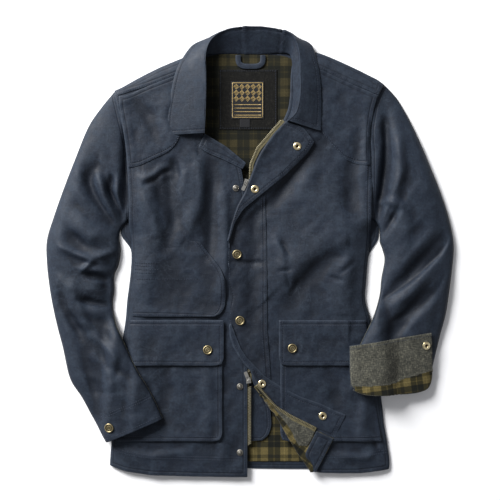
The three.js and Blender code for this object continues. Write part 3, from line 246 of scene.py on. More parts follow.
frontDrapes = [  # points from above to below, width on the shaded and on the lit side, rise
    ([(-196, 128), (-192, 60), (-190, 0), (-205, -60), (-214, -95)], 30, 22, 6.0),
    ([(-149, 152), (-146, 90), (-128, 36)], 14, 12, -4.5),
    ([(-97, 162), (-94, 110), (-97, 70), (-115, 34)], 12, 24, 5.0),
    ([(-70, 150), (-70, 100), (-72, 40), (-78, -10)], 10, 12, -4.0),
    ([(-46, 100), (-44, 40), (-46, -30), (-52, -80)], 7, 14, 3.2),
    ([(-152, 146), (-165, 140), (-178, 129), (-193, 121)], 5, 4, -2.2),
    ([(-150, 155), (-166, 149), (-180, 137), (-197, 130)], 5, 8, 1.8),
    ([(-140, 164), (-134, 138)], 6, 7, -3.0),
    ([(-171, 120), (-160, 88)], 11, 10, -3.0),
    ([(-120, 150), (-126, 100)], 9, 12, 2.4),
    ([(196, 34), (152, 12), (100, -18), (58, -62)], 22, 48, 6.0),
    ([(180, -12), (180, -60), (182, -122)], 14, 40, 5.5),
    ([(176, 6), (128, -24), (80, -76)], 14, 14, -2.0),
    ([(118, 194), (82, 138), (32, 84), (-8, 48)], 16, 10, -3.5),
    ([(57, 15), (66, 4), (74, -9)], 3, 4, -2.6), ([(50, 22), (60, -10), (62, -30)], 5, 8, 2.4),
    ([(68, -40), (72, -68)], 4, 4, -2.4), ([(90, -54), (79, -76)], 4, 5, -2.2),
    ([(76, -36), (54, -39)], 3, 4, -1.8),
    ([(216, 238), (213, 180), (216, 138)], 5, 9, 2.4), ([(190, -24), (169, -42)], 4, 5, -2.2),
    ([(172, -58), (148, -47)], 4, 3, -1.8), ([(140, 190), (120, 120)], 20, 22, -2.6),
    ([(200, 200), (186, 120), (190, 70)], 14, 16, -2.6),
    ([(-215, 284), (-190, 250), (-176, 206)], 12, 14, -2.6),
    ([(-150, 280), (-160, 240), (-140, 200)], 12, 14, 2.4),
    ([(-214, -150), (-208, -240), (-214, -330)], 14, 12, 2.6),
    ([(-150, -220), (-158, -300)], 18, 18, -2.4), ([(-80, -215), (-76, -300), (-84, -345)], 12, 16, 2.6),
    ([(214, -280), (206, -330), (214, -360)], 12, 14, 3.2), ([(150, -220), (160, -290)], 18, 18, -2.6),
    ([(-236, -372), (-180, -380), (-120, -372)], 8, 8, 1.8),
    ([(236, -370), (214, -384), (160, -380)], 7, 8, 2.2),
    ([(230, -352), (236, -372), (250, -380)], 4, 5, -2.6), ([(-52, -300), (-50, -390)], 9, 10, 2.0),
    ([(10, 74), (7, -30), (5, -140)], 15, 15, -3.2), ([(-30, -20), (0, -24), (28, -22)], 4, 6, -1.8),
    ([(-196, 96), (-176, 60), (-168, 20)], 8, 14, 3.0), ([(-140, 60), (-150, 10)], 9, 12, -2.6),
]


def rightSide(y):
    return readTable(sideSeams, y, 1)


def leftSide(y):
    return readTable(sideSeams, y, 2)


def quarterRound(distance, radius):
    return np.sqrt(1 - (1 - np.clip(distance / radius, 0, 1)) ** 2)


def rumple(x, y):  # the small unevenness of laid cloth, longer up and down than across
    waves = 0.9 * softNoise(x + 0.3 * y, y * 0.55, 46, 3) + 0.5 * softNoise(x - 0.4 * y, y * 0.7, 21, 4)
    return body["rumple"] * (waves + 0.24 * softNoise(x, y, 8, 5))


def frontHeight(x, y):
    # a soft rise from the side seams and from the shoulder to the chest, with the folds on it
    fromSide = np.minimum(x - rightSide(y), leftSide(y) - x)
    armhole = smooth(*body["armhole"], y) * body["sideRound"]
    side = quarterRound(np.maximum(0, fromSide) + armhole, body["sideRound"])
    shoulder = quarterRound(np.maximum(0, readTable(shoulderLine, x, 1) - y), body["shoulderRound"])
    chest = body["chestHeight"] - body["hemHeight"]
    full = body["hemHeight"] + chest * smooth(*body["rise"], y)
    lift = side * shoulder
    folds = foldRise(frontFolds, x, y) + foldRise(frontCreases, x, y) + rumple(x, y)
    folds = folds + body["folds"] * drapeRise(frontDrapes, x, y)
    return body["sideHeight"] + (full - body["sideHeight"]) * lift + folds * lift * lift


def onFront(flat, lift):  # flat grid or line of x, y laid on the fronts, its face raised by lift
    x, y = flat[..., 0], flat[..., 1]
    return np.stack([x, y, frontHeight(x, y) + lift], axis=-1)


# Meshes


def gridNormals(grid):  # the cross product of the two directions of the grid
    across, along = np.gradient(grid, axis=1), np.gradient(grid, axis=0)
    return unit(np.cross(across, along))


def gridEdges(grid):  # distance over the cloth to each of the four sides
    across = np.linalg.norm(np.diff(grid, axis=1), axis=-1)
    along = np.linalg.norm(np.diff(grid, axis=0), axis=-1)
    left = np.concatenate([np.zeros((len(grid), 1)), np.cumsum(across, axis=1)], axis=1)
    bottom = np.concatenate([np.zeros((1, grid.shape[1])), np.cumsum(along, axis=0)], axis=0)
    return {"L": left, "R": left[:, -1:] - left, "B": bottom, "T": bottom[-1:] - bottom}


def meshPiece(name, points, faces, finishes, materialOf=None, cloth=None, values=None, shade=True):
    mesh = bpy.data.meshes.new(name)
    mesh.from_pydata((np.asarray(points) * mm).tolist(), [], [list(f) for f in faces])
    for finish in finishes:
        mesh.materials.append(finish)
    if materialOf is not None:
        mesh.polygons.foreach_set("material_index", np.asarray(materialOf, np.int32))
    mesh.polygons.foreach_set("use_smooth", np.full(len(mesh.polygons), shade))
    if cloth is not None:
        corner = np.empty(len(mesh.loops), np.int32)
        mesh.loops.foreach_get("vertex_index", corner)
        layer = mesh.uv_layers.new(name="cloth")
        layer.data.foreach_set("uv", np.asarray(cloth, np.float32)[corner].ravel())
    for key, value in (values or {}).items():
        attribute = mesh.attributes.new(key, "FLOAT", "POINT")
        attribute.data.foreach_set("value", np.asarray(value, np.float32))
    mesh.update()
    piece = bpy.data.objects.new(name, mesh)
    bpy.context.scene.collection.objects.link(piece)
    return piece


def quadFaces(rows, columns, start=0, turned=False):
    i = np.arange(rows - 1)[:, None] * columns + np.arange(columns - 1)[None] + start
    i = i.ravel()
    corners = [i, i + 1, i + columns + 1, i + columns]
    return np.stack(corners[::-1] if turned else corners, axis=1)


# how much smoothing gives the ground that a fold rises from, and the rise that counts full, mm
relief = {"passes": 60, "full": 1.1}


def clothShell(name, grid, thick, finish, inside=None, flatMap=None, turn=0, edges="LRBT", patchFinish=None,
               wax=0.0):
    # a closed shell: the grid is its outer face, the inner face lies thick below it along the
    # normals, and three rounded loops join the two all round
    rows, columns = grid.shape[:2]
    normal = gridNormals(grid)
    thick = np.broadcast_to(np.asarray(thick, float), (rows, columns))
    inner = grid - normal * thick[..., None]
    around = np.concatenate([
        np.arange(columns - 1), np.arange(rows - 1) * columns + columns - 1,
        rows * columns - 1 - np.arange(columns - 1), (rows - 1 - np.arange(rows - 1)) * columns,
    ])
    r, c = around // columns, around % columns
    rim = grid[r, c]
    out = rim - grid[np.clip(r, 1, rows - 2), np.clip(c, 1, columns - 2)]
    rimNormal = normal[r, c]
    out = unit(out - rimNormal * (out * rimNormal).sum(-1, keepdims=True))
    half = thick[r, c][:, None] / 2
    loops = [rim + out * half * math.sin(a) - rimNormal * half * (1 - math.cos(a))
             for a in (math.pi * 0.28, math.pi * 0.5, math.pi * 0.72)]
    count = rows * columns
    points = np.concatenate([grid.reshape(-1, 3), inner.reshape(-1, 3), *loops])
    faces = [quadFaces(rows, columns), quadFaces(rows, columns, count, True)]
    following = np.roll(np.arange(len(around)), -1)
    size = len(around)
    rings = [around, *(2 * count + k * size + np.arange(size) for k in range(3)), around + count]
    for upper, lower in zip(rings[:-1], rings[1:]):
        faces.append(np.stack([upper, lower, lower[following], upper[following]], axis=1))
    distance = gridEdges(grid)
    edge = np.min([distance[side] for side in edges], axis=0) if edges else np.full((rows, columns), 60.0)
    # above 0 on the folds' tops and below in their hollows; the piece's painted shade lowers it all over, so
    # that the whole piece is painted darker, as if it lay in shade
    ridge = (grid[..., 2] - softened(grid[..., 2], relief["passes"])) / relief["full"]
    ridge = np.clip(ridge - wax, -1, 1)
    if flatMap is None:
        cosine, sine = math.cos(turn), math.sin(turn)
        x, y = grid[..., 0], grid[..., 1]
        flatMap = np.stack([x * cosine + y * sine, y * cosine - x * sine], axis=-1)

    def spread(value):  # grid values for outer face, inner face and the three loops
        value = value.reshape(count, -1)
        return np.concatenate([value, value, *[value[around]] * 3])

    finishes = [finish, inside or finish]
    materialOf = np.concatenate([np.full(len(f), k != 0) for k, f in enumerate(faces)])
    materialOf[len(faces[0]) + len(faces[1]):] = 0
    if patchFinish is not None:  # another finish on the outer face where its mask says so
        finishes.append(patchFinish[0])
        materialOf = materialOf.astype(int)
        materialOf[:len(faces[0])][patchFinish[1].ravel()] = 2
    values = {"edge": spread(edge).ravel(), "ridge": spread(ridge).ravel()}
    cloth = spread(flatMap) / 100
    piece = meshPiece(name, points, np.concatenate(faces), finishes, materialOf, cloth, values)
    spans = np.cross(grid[1:, :-1] - grid[:-1, :-1], grid[:-1, 1:] - grid[:-1, :-1])
    area = np.linalg.norm(spans, axis=-1).sum() * 1e-6
    made[name] = {"piece": piece, "grid": grid, "normal": normal, "distance": distance, "area": area}
    print(f"{name}: {len(piece.data.polygons)} faces, {area:.4f} m2 of cloth")
    return piece


def finishPiece(piece, nodes=()):
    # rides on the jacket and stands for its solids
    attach(piece, "jacket")
    if nodes:
        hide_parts(*nodes)


def laySheet(node, slot, cut, grid, thick, finish, on=(), held="laid", name="", **more):
    piece = clothShell(name or node + "_cloth", grid, thick, finish, **more)
    finishPiece(piece, [node] if node else [])


# Materials


def linear(code):  # sRGB hex to the linear colour that shaders take
    parts = [int(code[i:i + 2], 16) / 255 for i in (1, 3, 5)]
    return tuple(p / 12.92 if p <= 0.04045 else ((p + 0.055) / 1.055) ** 2.4 for p in parts) + (1,)


def addNode(tree, kind, settings=None, links=None, out=0):
    # settings name the node's own options and its sockets, links its sockets, out the output wanted
    node = tree.nodes.new("ShaderNode" + kind)
    for key, value in (settings or {}).items():
        if isinstance(key, str) and hasattr(node, key):
            setattr(node, key, value)
        else:
            node.inputs[key].default_value = value
    for socket, source in (links or {}).items():
        tree.links.new(source, node.inputs[socket])
    return node.outputs[out]


def noiseNode(tree, place, size, detail, roughness=0.5, distortion=0.0):  # clouds about size mm wide
    settings = {"Scale": 1000 / size, "Detail": detail, "Roughness": roughness, "Distortion": distortion}
    return addNode(tree, "TexNoise", settings, {0: place})


def mapNode(tree, source, start, full, low=0.0, high=1.0):  # start to full become low to high
    return addNode(tree, "MapRange", {1: start, 2: full, 3: low, 4: high}, {0: source})


def mathNode(tree, operation, *terms):  # terms are numbers or other nodes' outputs
    numbers = {k: term for k, term in enumerate(terms) if isinstance(term, float)}
    sources = {k: term for k, term in enumerate(terms) if not isinstance(term, float)}
    return addNode(tree, "Math", {"operation": operation, **numbers}, sources)


def mixNode(tree, share, colour, shade):  # from colour, a code or a node's output, to the shade
    settings, links = {"data_type": "RGBA", 7: linear(shade)}, {0: share}
    if isinstance(colour, str):
        settings[6] = linear(colour)
    else:
        links[6] = colour
    return addNode(tree, "Mix", settings, links, 2)


def plainColour(tree, code):
    return addNode(tree, "Mix", {"data_type": "RGBA", 0: 0.0, 6: linear(code)}, None, 2)


def rampNode(tree, source, steps, interpolation="LINEAR"):  # steps are places and their colours
    ramp = addNode(tree, "ValToRGB", None, {0: source})
    stops = ramp.node.color_ramp
    stops.interpolation = interpolation
    while len(stops.elements) < len(steps):
        stops.elements.new(0.99)
    for element, (position, colour) in zip(stops.elements, steps):
        element.position = position
        element.color = colour
    return ramp


def setBump(tree, surface, height, strength, depth):  # depth in mm
    bump = addNode(tree, "Bump", {"Strength": strength, "Distance": depth * mm}, {"Height": height})
    tree.links.new(bump, surface["Normal"])


def newMaterial(name, settings):
    material = bpy.data.materials.new(name)
    material.use_nodes = True
    tree = material.node_tree
    tree.nodes.clear()
    surface = addNode(tree, "BsdfPrincipled", settings)
    tree.links.new(surface, tree.nodes.new("ShaderNodeOutputMaterial").inputs[0])
    return material, tree, surface.node.inputs


def cloudLayers(tree, place, colour, layers):
    # each layer: its clouds' size in mm, where it starts and is full, its strength and its colour
    for size, start, full, strength, shade in layers:
        share = mapNode(tree, noiseNode(tree, place, size, 4.0, 0.6), start, full, 0.0, strength)
        colour = mixNode(tree, share, colour, shade)
    return colour


def crossedStreaks(tree, place, size, thin, roughness=0.5):  # along both threads of a weave
    streaks = []
    for stretch in ((thin, 1.0, 1.0), (1.0, thin, 1.0)):
        stretched = addNode(tree, "Mapping", {"Scale": stretch}, {0: place})
        streaks.append(noiseNode(tree, stretched, size, 3.0, roughness))
    return streaks


waxed = {
    "base": "#1a212d", "dark": "#10141c", "lit": "#29333f", "worn": "#49525e",
    "bloomSize": 70, "smudgeSize": 16,  # wax lies in clouds and smears about this wide, mm
    "slubSize": 5,  # thicker threads show as short streaks
    "grainSize": 3.6,  # the wax sits unevenly on the yarns
    "weave": 1.6,  # the real cloth has a thread every 0.45 mm, too fine to show from here
    "seamLine": 6.5,  # topstitching lies this far in from a sewn edge
    "crackSize": 46, "crack": 0.13,  # how far the cracks in the wax run, and how strongly they show
    "needleShade": 0.6,  # how strongly the topstitched line is darkened: its needle holes, and painted shade in the groove it draws
    "rubWidth": 2.0, "rub": 0.2, "ridgeWearAndHighlight": 0.09, "hollow": 0.75,  # wear at edges; wear and a painted highlight on fold tops; painted shade in hollows
    "roughness": 0.6, "specular": 0.2,
}


def waxedCotton(name, values):
    # Tightly woven cotton soaked in wax: deep navy, softly satin, clouded, rubbed paler at its edges
    dark, lit, worn, roughness = (values[key] for key in ("dark", "lit", "worn", "roughness"))
    settings = {"Roughness": roughness, "Specular IOR Level": values["specular"]}
    material, tree, surface = newMaterial(name, settings)
    place = addNode(tree, "TexCoord", out="Object")
    edge, ridge = [addNode(tree, "Attribute", {"attribute_name": key}, out="Fac")
                   for key in ("edge", "ridge")]
    colour = cloudLayers(tree, place, plainColour(tree, values["base"]), [
        (values["bloomSize"], 0.42, 0.7, 0.6, dark), (values["smudgeSize"], 0.45, 0.75, 0.55, lit),
        (values["grainSize"], 0.48, 0.72, 0.5, lit), (values["grainSize"] * 1.3, 0.48, 0.72, 0.55, dark)])
    weave = noiseNode(tree, place, values["weave"], 2.0)
    slub = mathNode(tree, "MAXIMUM", *crossedStreaks(tree, place, values["slubSize"], 0.22))
    # the slubs, painted shade in the hollows, the rubbed fold tops (partly a painted highlight) and the
    # rubbed edges
    marks = [(slub, 0.56, 0.78, 0.4, lit), (ridge, -0.15, -1.0, values["hollow"], dark),
             (ridge, 0.2, 1.0, values["ridgeWearAndHighlight"], worn),
             (edge, values["rubWidth"], 0.2, values["rub"], worn)]
    uneven = mapNode(tree, weave, 0.3, 0.6, 0.4)
    for source, start, full, strength, shade in marks:
        share = mathNode(tree, "MULTIPLY", mapNode(tree, source, start, full, 0.0, strength), uneven)
        colour = mixNode(tree, share, colour, shade)
    off = mathNode(tree, "ABSOLUTE", mathNode(tree, "SUBTRACT", edge, values["seamLine"]))
    # along the topstitching: the needle holes, and painted shade in the groove
    colour = mixNode(tree, mapNode(tree, off, 1.3, 0.3, 0.0, values["needleShade"]), colour, dark)
    # old creases, where the wax has cracked and gone pale
    web = noiseNode(tree, place, values["crackSize"], 3.0, distortion=0.6)
    web = mathNode(tree, "ABSOLUTE", mathNode(tree, "SUBTRACT", web, 0.5))
    patchy = mapNode(tree, noiseNode(tree, place, values["bloomSize"], 2.0), 0.45, 0.62)
    crack = mathNode(tree, "MULTIPLY", mapNode(tree, web, 0.011, 0.002, 0.0, values["crack"]), patchy)
    tree.links.new(mixNode(tree, crack, colour, worn), surface["Base Color"])
    cloud = noiseNode(tree, place, values["smudgeSize"], 4.0)
    gloss = mapNode(tree, cloud, 0.3, 0.7, roughness - 0.05, roughness + 0.1)
    tree.links.new(gloss, surface["Roughness"])
    # the topstitched line draws the cloth down, and the cloth puffs between it and the edge
    height = mathNode(tree, "MULTIPLY_ADD", weave, 0.3, mapNode(tree, off, 0.0, 2.2, -0.6, 0.0))
    height = mathNode(tree, "MULTIPLY_ADD", slub, 0.5, height)
    setBump(tree, surface, mathNode(tree, "MULTIPLY_ADD", cloud, 0.6, height), 0.8, 0.9)
    return material


check = {
    "ground": "#0f110d", "line": "#201f17", "half": "#2c2917", "fine": "#4a4226", "cross": "#574d2c",
    "over": "#7c6f48",
    "neckShade": 0.72,  # painted shade: the lining is painted darker round the neck, which lies in the collar's shade
    "neckShadeStart": -0.05, "neckShadeFull": 0.12,  # how far up the jacket the painted shade starts and is full, m
    "repeat": 57,  # from one pair of bands to the next, mm
    "twill": 2.6,  # real twill lines are 0.6 mm apart, drawn coarser
}


def checkLining(name, values):
    # Brushed cotton flannel in a dyed-yarn check: soft, dull, with twill lines in the bands
    material, tree, surface = newMaterial(name, {
        "Roughness": 0.92, "Specular IOR Level": 0.15, "Sheen Weight": 0.08, "Sheen Roughness": 0.5,
    })
    cloth = addNode(tree, "UVMap", {"uv_map": "cloth"})
    parts = addNode(tree, "SeparateXYZ", None, {0: cloth}).node.outputs
    place = addNode(tree, "TexCoord", out="Object")
    fuzz = noiseNode(tree, place, 2.2, 3.0, 0.7)
    # across a repeat: two bands with a dark one between them, then the ground with a fine line
    steps = [(0.0, 0.8), (0.11, 1.1), (0.14, 0.8), (0.25, 0.3), (0.36, 0.8), (0.6, 0.0), (0.78, 0.5),
             (0.81, 0.0)]
    bands = []
    for axis in (0, 1):
        repeat = mathNode(tree, "MULTIPLY", parts[axis], 100 / values["repeat"])
        share = mathNode(tree, "FRACT", mathNode(tree, "MULTIPLY_ADD", fuzz, 0.03, repeat))
        greys = [(at, (value, value, value, 1)) for at, value in steps]
        bands.append(rampNode(tree, share, greys, "CONSTANT"))
    both = mathNode(tree, "ADD", *bands)
    twill = mathNode(tree, "MULTIPLY", mathNode(tree, "ADD", parts[0], parts[1]), 100 / values["twill"])
    rib = mapNode(tree, mathNode(tree, "PINGPONG", twill, 0.5), 0.1, 0.4, -0.16, 0.16)
    level = mathNode(tree, "MULTIPLY", mathNode(tree, "MULTIPLY_ADD", rib, both, both), 0.5)
    shades = [(0.0, "ground"), (0.2, "line"), (0.42, "half"), (0.56, "fine"), (0.8, "cross"), (1.0, "over")]
    ramp = rampNode(tree, level, [(at, linear(values[shade])) for at, shade in shades])
    colour = cloudLayers(tree, place, ramp, [(3, 0.4, 0.75, 0.35, values["line"]),
                                             (36, 0.45, 0.75, 0.35, values["ground"])])
    # painted shade, darker towards the neck
    up = addNode(tree, "SeparateXYZ", None, {0: place}, 1)
    neckShadeShare = mapNode(tree, up, values["neckShadeStart"], values["neckShadeFull"], 0.0, values["neckShade"])
    tree.links.new(mixNode(tree, neckShadeShare, colour, values["ground"]), surface["Base Color"])
    setBump(tree, surface, mathNode(tree, "ADD", fuzz, rib), 0.6, 0.5)
    return material


tweed = {
    "mid": "#42423c", "dark": "#292a27", "pale": "#716f61",
    "yarn": 1.7,  # real woollen yarn is about 1 mm thick, drawn coarser
}


def woolTweed(name, values):
    # Woollen twill of mixed yarns: grey flecked with dark and pale, rough and without gloss
    material, tree, surface = newMaterial(name, {
        "Roughness": 0.95, "Specular IOR Level": 0.1, "Sheen Weight": 0.12, "Sheen Roughness": 0.5,
    })
    place = addNode(tree, "TexCoord", out="Object")
    fleck = mathNode(tree, "ADD", *crossedStreaks(tree, place, values["yarn"], 0.25, 0.7))
    colour = plainColour(tree, values["mid"])
    for start, full, strength, shade in ((0.98, 0.78, 0.85, "dark"), (1.02, 1.26, 0.8, "pale")):
        colour = mixNode(tree, mapNode(tree, fleck, start, full, 0.0, strength), colour, values[shade])
    colour = cloudLayers(tree, place, colour, [(30, 0.45, 0.75, 0.25, values["dark"])])
    tree.links.new(colour, surface["Base Color"])
    setBump(tree, surface, fleck, 0.8, 0.8)
    return material


def castMetal(name, shades, roughness):
    # Die-cast and plated, tumbled so that the raised places shine and the hollows keep their patina
    pale, base, dark = shades
    material, tree, surface = newMaterial(name, {"Roughness": roughness, "Metallic": 1.0})
    place = addNode(tree, "TexCoord", out="Object")
    patina = noiseNode(tree, place, 2.5, 4.0, 0.65)
    hollow = addNode(tree, "Attribute", {"attribute_name": "hollow"}, out="Fac")
    # darker where hollow says: patina, and painted shade for a socket's hole
    colour = mixNode(tree, mapNode(tree, patina, 0.38, 0.62), base, pale)
    tree.links.new(mixNode(tree, hollow, colour, dark), surface["Base Color"])
    gloss = mapNode(tree, patina, 0.3, 0.7, roughness + 0.12, roughness - 0.05)
    tree.links.new(gloss, surface["Roughness"])
    setBump(tree, surface, noiseNode(tree, place, 0.7, 2.0), 0.6, 0.05)
    return material


def wovenTape(name, base, dark, rib):
    # Woven polyester or satin ribbon: fine ribs along it, a slight gloss
    material, tree, surface = newMaterial(name, {"Roughness": 0.7, "Specular IOR Level": 0.3})
    cloth = addNode(tree, "UVMap", {"uv_map": "cloth"})
    along = addNode(tree, "SeparateXYZ", None, {0: cloth}, 1)
    ribs = mathNode(tree, "PINGPONG", mathNode(tree, "MULTIPLY", along, 100 / rib), 0.5)
    share = mapNode(tree, ribs, 0.1, 0.45)
    tree.links.new(mixNode(tree, share, base, dark), surface["Base Color"])
    setBump(tree, surface, share, 0.7, 0.25)
    return material


def sewingThread(name, base, dark):
    # Twisted polyester thread: slightly glossy, with darker turns
    material, tree, surface = newMaterial(name, {"Roughness": 0.5, "Specular IOR Level": 0.4})
    place = addNode(tree, "TexCoord", out="Object")
    turns = noiseNode(tree, place, 1.1, 2.0)
    tree.links.new(mixNode(tree, mapNode(tree, turns, 0.35, 0.65), base, dark), surface["Base Color"])
    setBump(tree, surface, turns, 0.5, 0.1)
    return material


metals = {  # pale, base and dark shades
    "antique": ("#b3a683", "#85795a", "#2b2519"),
    "bright": ("#efe2bd", "#cdb98a", "#2b2117"),
    "nickel": ("#dcdad4", "#b4b2ab", "#4a4945"),
    "dull": ("#96928a", "#6b6862", "#2b2a27"),
    "tooth": ("#c9c1a4", "#a59c80", "#4a4230"),
}
shell = waxedCotton("waxed cotton", waxed)
lining = checkLining("check cotton flannel", check)
wool = woolTweed("wool tweed", tweed)
# a darker copy of the tweed: painted shade for the neck patch, deep under the collar
shadowed = woolTweed("charcoal wool tweed",
                     {**tweed, "mid": "#10100f", "dark": "#0a0a09", "pale": "#22211d"})
tape = wovenTape("zip tape", "#6b6448", "#3c3828", 1.6)
satin = wovenTape("woven satin label", "#101116", "#08090c", 1.2)
brass = castMetal("antique brass", metals["antique"], 0.38)
brightBrass = castMetal("polished brass", metals["bright"], 0.3)
silver = castMetal("nickel-plated zinc", metals["nickel"], 0.3)
dullSteel = castMetal("tarnished steel", metals["dull"], 0.46)
toothMetal = castMetal("brass zip teeth", metals["tooth"], 0.4)
navyThread = sewingThread("navy polyester thread", "#2b3445", "#1a212e")
goldThread = sewingThread("gold metallic thread", "#b39a63", "#7d6a3f")
print("materials made")

# Back, lining and fronts

step = 3.2  # mesh size of the large pieces, mm


def seamRun(table, low, high, count=60):
    y = np.linspace(low, high, count)
    return np.stack([table(y), y], axis=1)


def shoulderRun(low, high, drop=0.0, count=24):
    x = np.linspace(low, high, count)
    return np.stack([x, readTable(shoulderLine, x, 1) - drop], axis=1)


def flatGrid(flat, height):
    return np.concatenate([flat, np.broadcast_to(height, flat.shape[:2])[..., None]], axis=-1)


backHem = [(-259, -396), (-180, -402), (-92, -404), (-5, -404), (60, -405), (115, -405), (200, -403),
           (257, -401)]
# under each arm the back's cloth is drawn out towards the sleeve, a dark sheet that stands in for the deep
# shade in the gap between sleeve and body
underarmShade = {"left": (16, 34, 30), "right": (18, 34, 22)}  # how far out, at which height, half as high as this


def shadeCloth(side, y):
    out, at, high = underarmShade[side]
    return out * np.exp(-((np.asarray(y, float) - at) / high) ** 4)


backTop = [(-58, 370), (-20, 375), (26, 375), (62, 370)]
backFlat = patchGrid(
    backHem, seamRun(lambda y: leftSide(y) + shadeCloth("left", y), -401, 306),
    np.concatenate([shoulderRun(-250, -88), backTop, shoulderRun(90, 248)]),
    seamRun(lambda y: rightSide(y) - shadeCloth("right", y), -396, 295), 6)
laySheet("back", "waxed_cotton", (0.52, 0.78, 0.345), flatGrid(backFlat, 1.55), 1.5, shell, inside=lining,
         name="back_shell")

liningInset = 9  # from the side seams and the shoulders
liningHem = [(-247, -385), (-92, -390), (-5, -391), (115, -391), (243, -386)]
liningTop = [(-62, 371), (-20, 373), (26, 373), (68, 372)]
liningFlat = patchGrid(
    liningHem, seamRun(lambda y: leftSide(y) - liningInset, -386, 290),
    np.concatenate([shoulderRun(-240, -88, liningInset), liningTop, shoulderRun(90, 238, liningInset)]),
    seamRun(lambda y: rightSide(y) + liningInset, -385, 285), 5)
liningHeight = 2.75 + 0.5 * (0.5 + 0.5 * noiseOn(liningFlat, 40, 11))
liningPiece = clothShell("back_lining_cloth", flatGrid(liningFlat, liningHeight), 0.9, lining)
finishPiece(liningPiece, ["back_lining"])

rightEdge = [(-5.6, -419), (-5.6, 60), (-9.3, 110), (-18.5, 158), (-30, 165), (-52, 171), (-78, 181),
             (-88, 215), (-91, 250), (-92, 300), (-91, 345), (-88, 370)]
rightHem = [(-259, -398), (-231, -408), (-185, -415), (-92, -418), (-5.6, -419)]
leftEdge = [(115, -408), (92, -380), (70, -345), (46, -302), (22, -267), (6, -247), (3.7, -234), (3.7, 64),
            (0.6, 119), (3, 158), (15, 186), (41, 215.5), (63, 240), (72, 262), (75, 286), (76, 323),
            (80, 352), (89, 372)]
leftHem = [(115, -408), (130, -411), (204, -412), (257, -405)]
frontCut = {"wall": 1.9, "right": (0.30, 0.80, 0.165), "left": (0.30, 0.80, 0.16)}


def frontWall(grid):  # the cloth's lower face comes down to the back along the side seams
    x, y = grid[..., 0], grid[..., 1]
    near = np.minimum(x - rightSide(y), leftSide(y) - x)
    return frontCut["wall"] + 0.55 * np.exp(-np.maximum(near, 0) / 5)


def layFront(side, flat, wax=0.0):
    grid = onFront(flat, 0.0)
    laySheet("front_" + side, "waxed_cotton", frontCut[side], grid, frontWall(grid), shell,
             on=["back_lining"], inside=lining, wax=wax)


rightFlat = patchGrid(rightHem, rightEdge, shoulderRun(-250, -88), seamRun(rightSide, -398, 295), step)
# the right chest is painted darker, as painted shade: how much, and its middle and half width across and up
chestShade = {"more": 0.8, "across": (-95, 75), "up": (70, 95)}
chest = [bell(rightFlat[..., k] - chestShade[way][0], chestShade[way][1])
         for k, way in enumerate(("across", "up"))]
layFront("right", rightFlat, chestShade["more"] * chest[0] * chest[1])
layFront("left", patchGrid(leftHem, seamRun(leftSide, -405, 306), shoulderRun(89, 248), leftEdge, step))
print("back, lining and fronts laid")

# Patches on the fronts


pucker = {"size": 9, "puff": 0.5, "from": 14, "to": 60, "sink": 0.15}


def puckered(flat, lift, edges, depth):
    # the patch on the front, its surface drawn into small puckers along its sewn edges
    grid = onFront(flat, lift)
    distance = gridEdges(grid)
    near = np.min([distance[side] for side in edges], axis=0)
    grid[..., 2] += depth * noiseOn(flat, pucker["size"], 21) * np.exp(-near / pucker["size"])
    # and it puffs up a little way in from them
    puff = smooth(0, pucker["from"], near) * (1 - smooth(pucker["from"], pucker["to"], near))
    grid[..., 2] += pucker["puff"] * puff - pucker["sink"]
    return grid


freeEdge = {"rise": 2.4, "reach": 16}  # how far a free edge stands off what it lies on, and from how far in
fadeReach = 34  # a side without an edge comes out of the front over this far


def addPatch(node, lift, cut, on, lines, thick=1.3, edges="LRBT", stepSize=2.6, fade="", finish=None,
             slot="waxed_cotton", puff=None, held="laid", inside=None, turn=0, depth=0.35, free="", wax=0.0,
             name=""):
    flat = patchGrid(*lines, stepSize, 8)
    grid = puckered(flat, lift, edges, depth)
    for side in free:  # and throws a shadow on it
        grid[..., 2] += freeEdge["rise"] * bell(gridEdges(grid)[side], freeEdge["reach"])
    wall = np.full(grid.shape[:2], float(thick))
    for side in fade:  # a side that runs on into the front has no edge of its own
        grid[..., 2] -= (lift + 0.9) * (1 - smooth(0, fadeReach, gridEdges(grid)[side]))
    if puff:  # a turned cloth is thick and round along its fold, because it holds the bend
        line, rise, reach = puff
        along = lineDistance(line, flat[..., 0], flat[..., 1])
        grid[..., 2] += rise * np.exp(-along / reach)
        wall += (rise + 0.9) * bell(along, reach * 0.55)
    laySheet(node, slot, cut, grid, wall, finish or shell, [on], held, name, inside=inside, turn=turn,
             edges=edges, wax=wax)


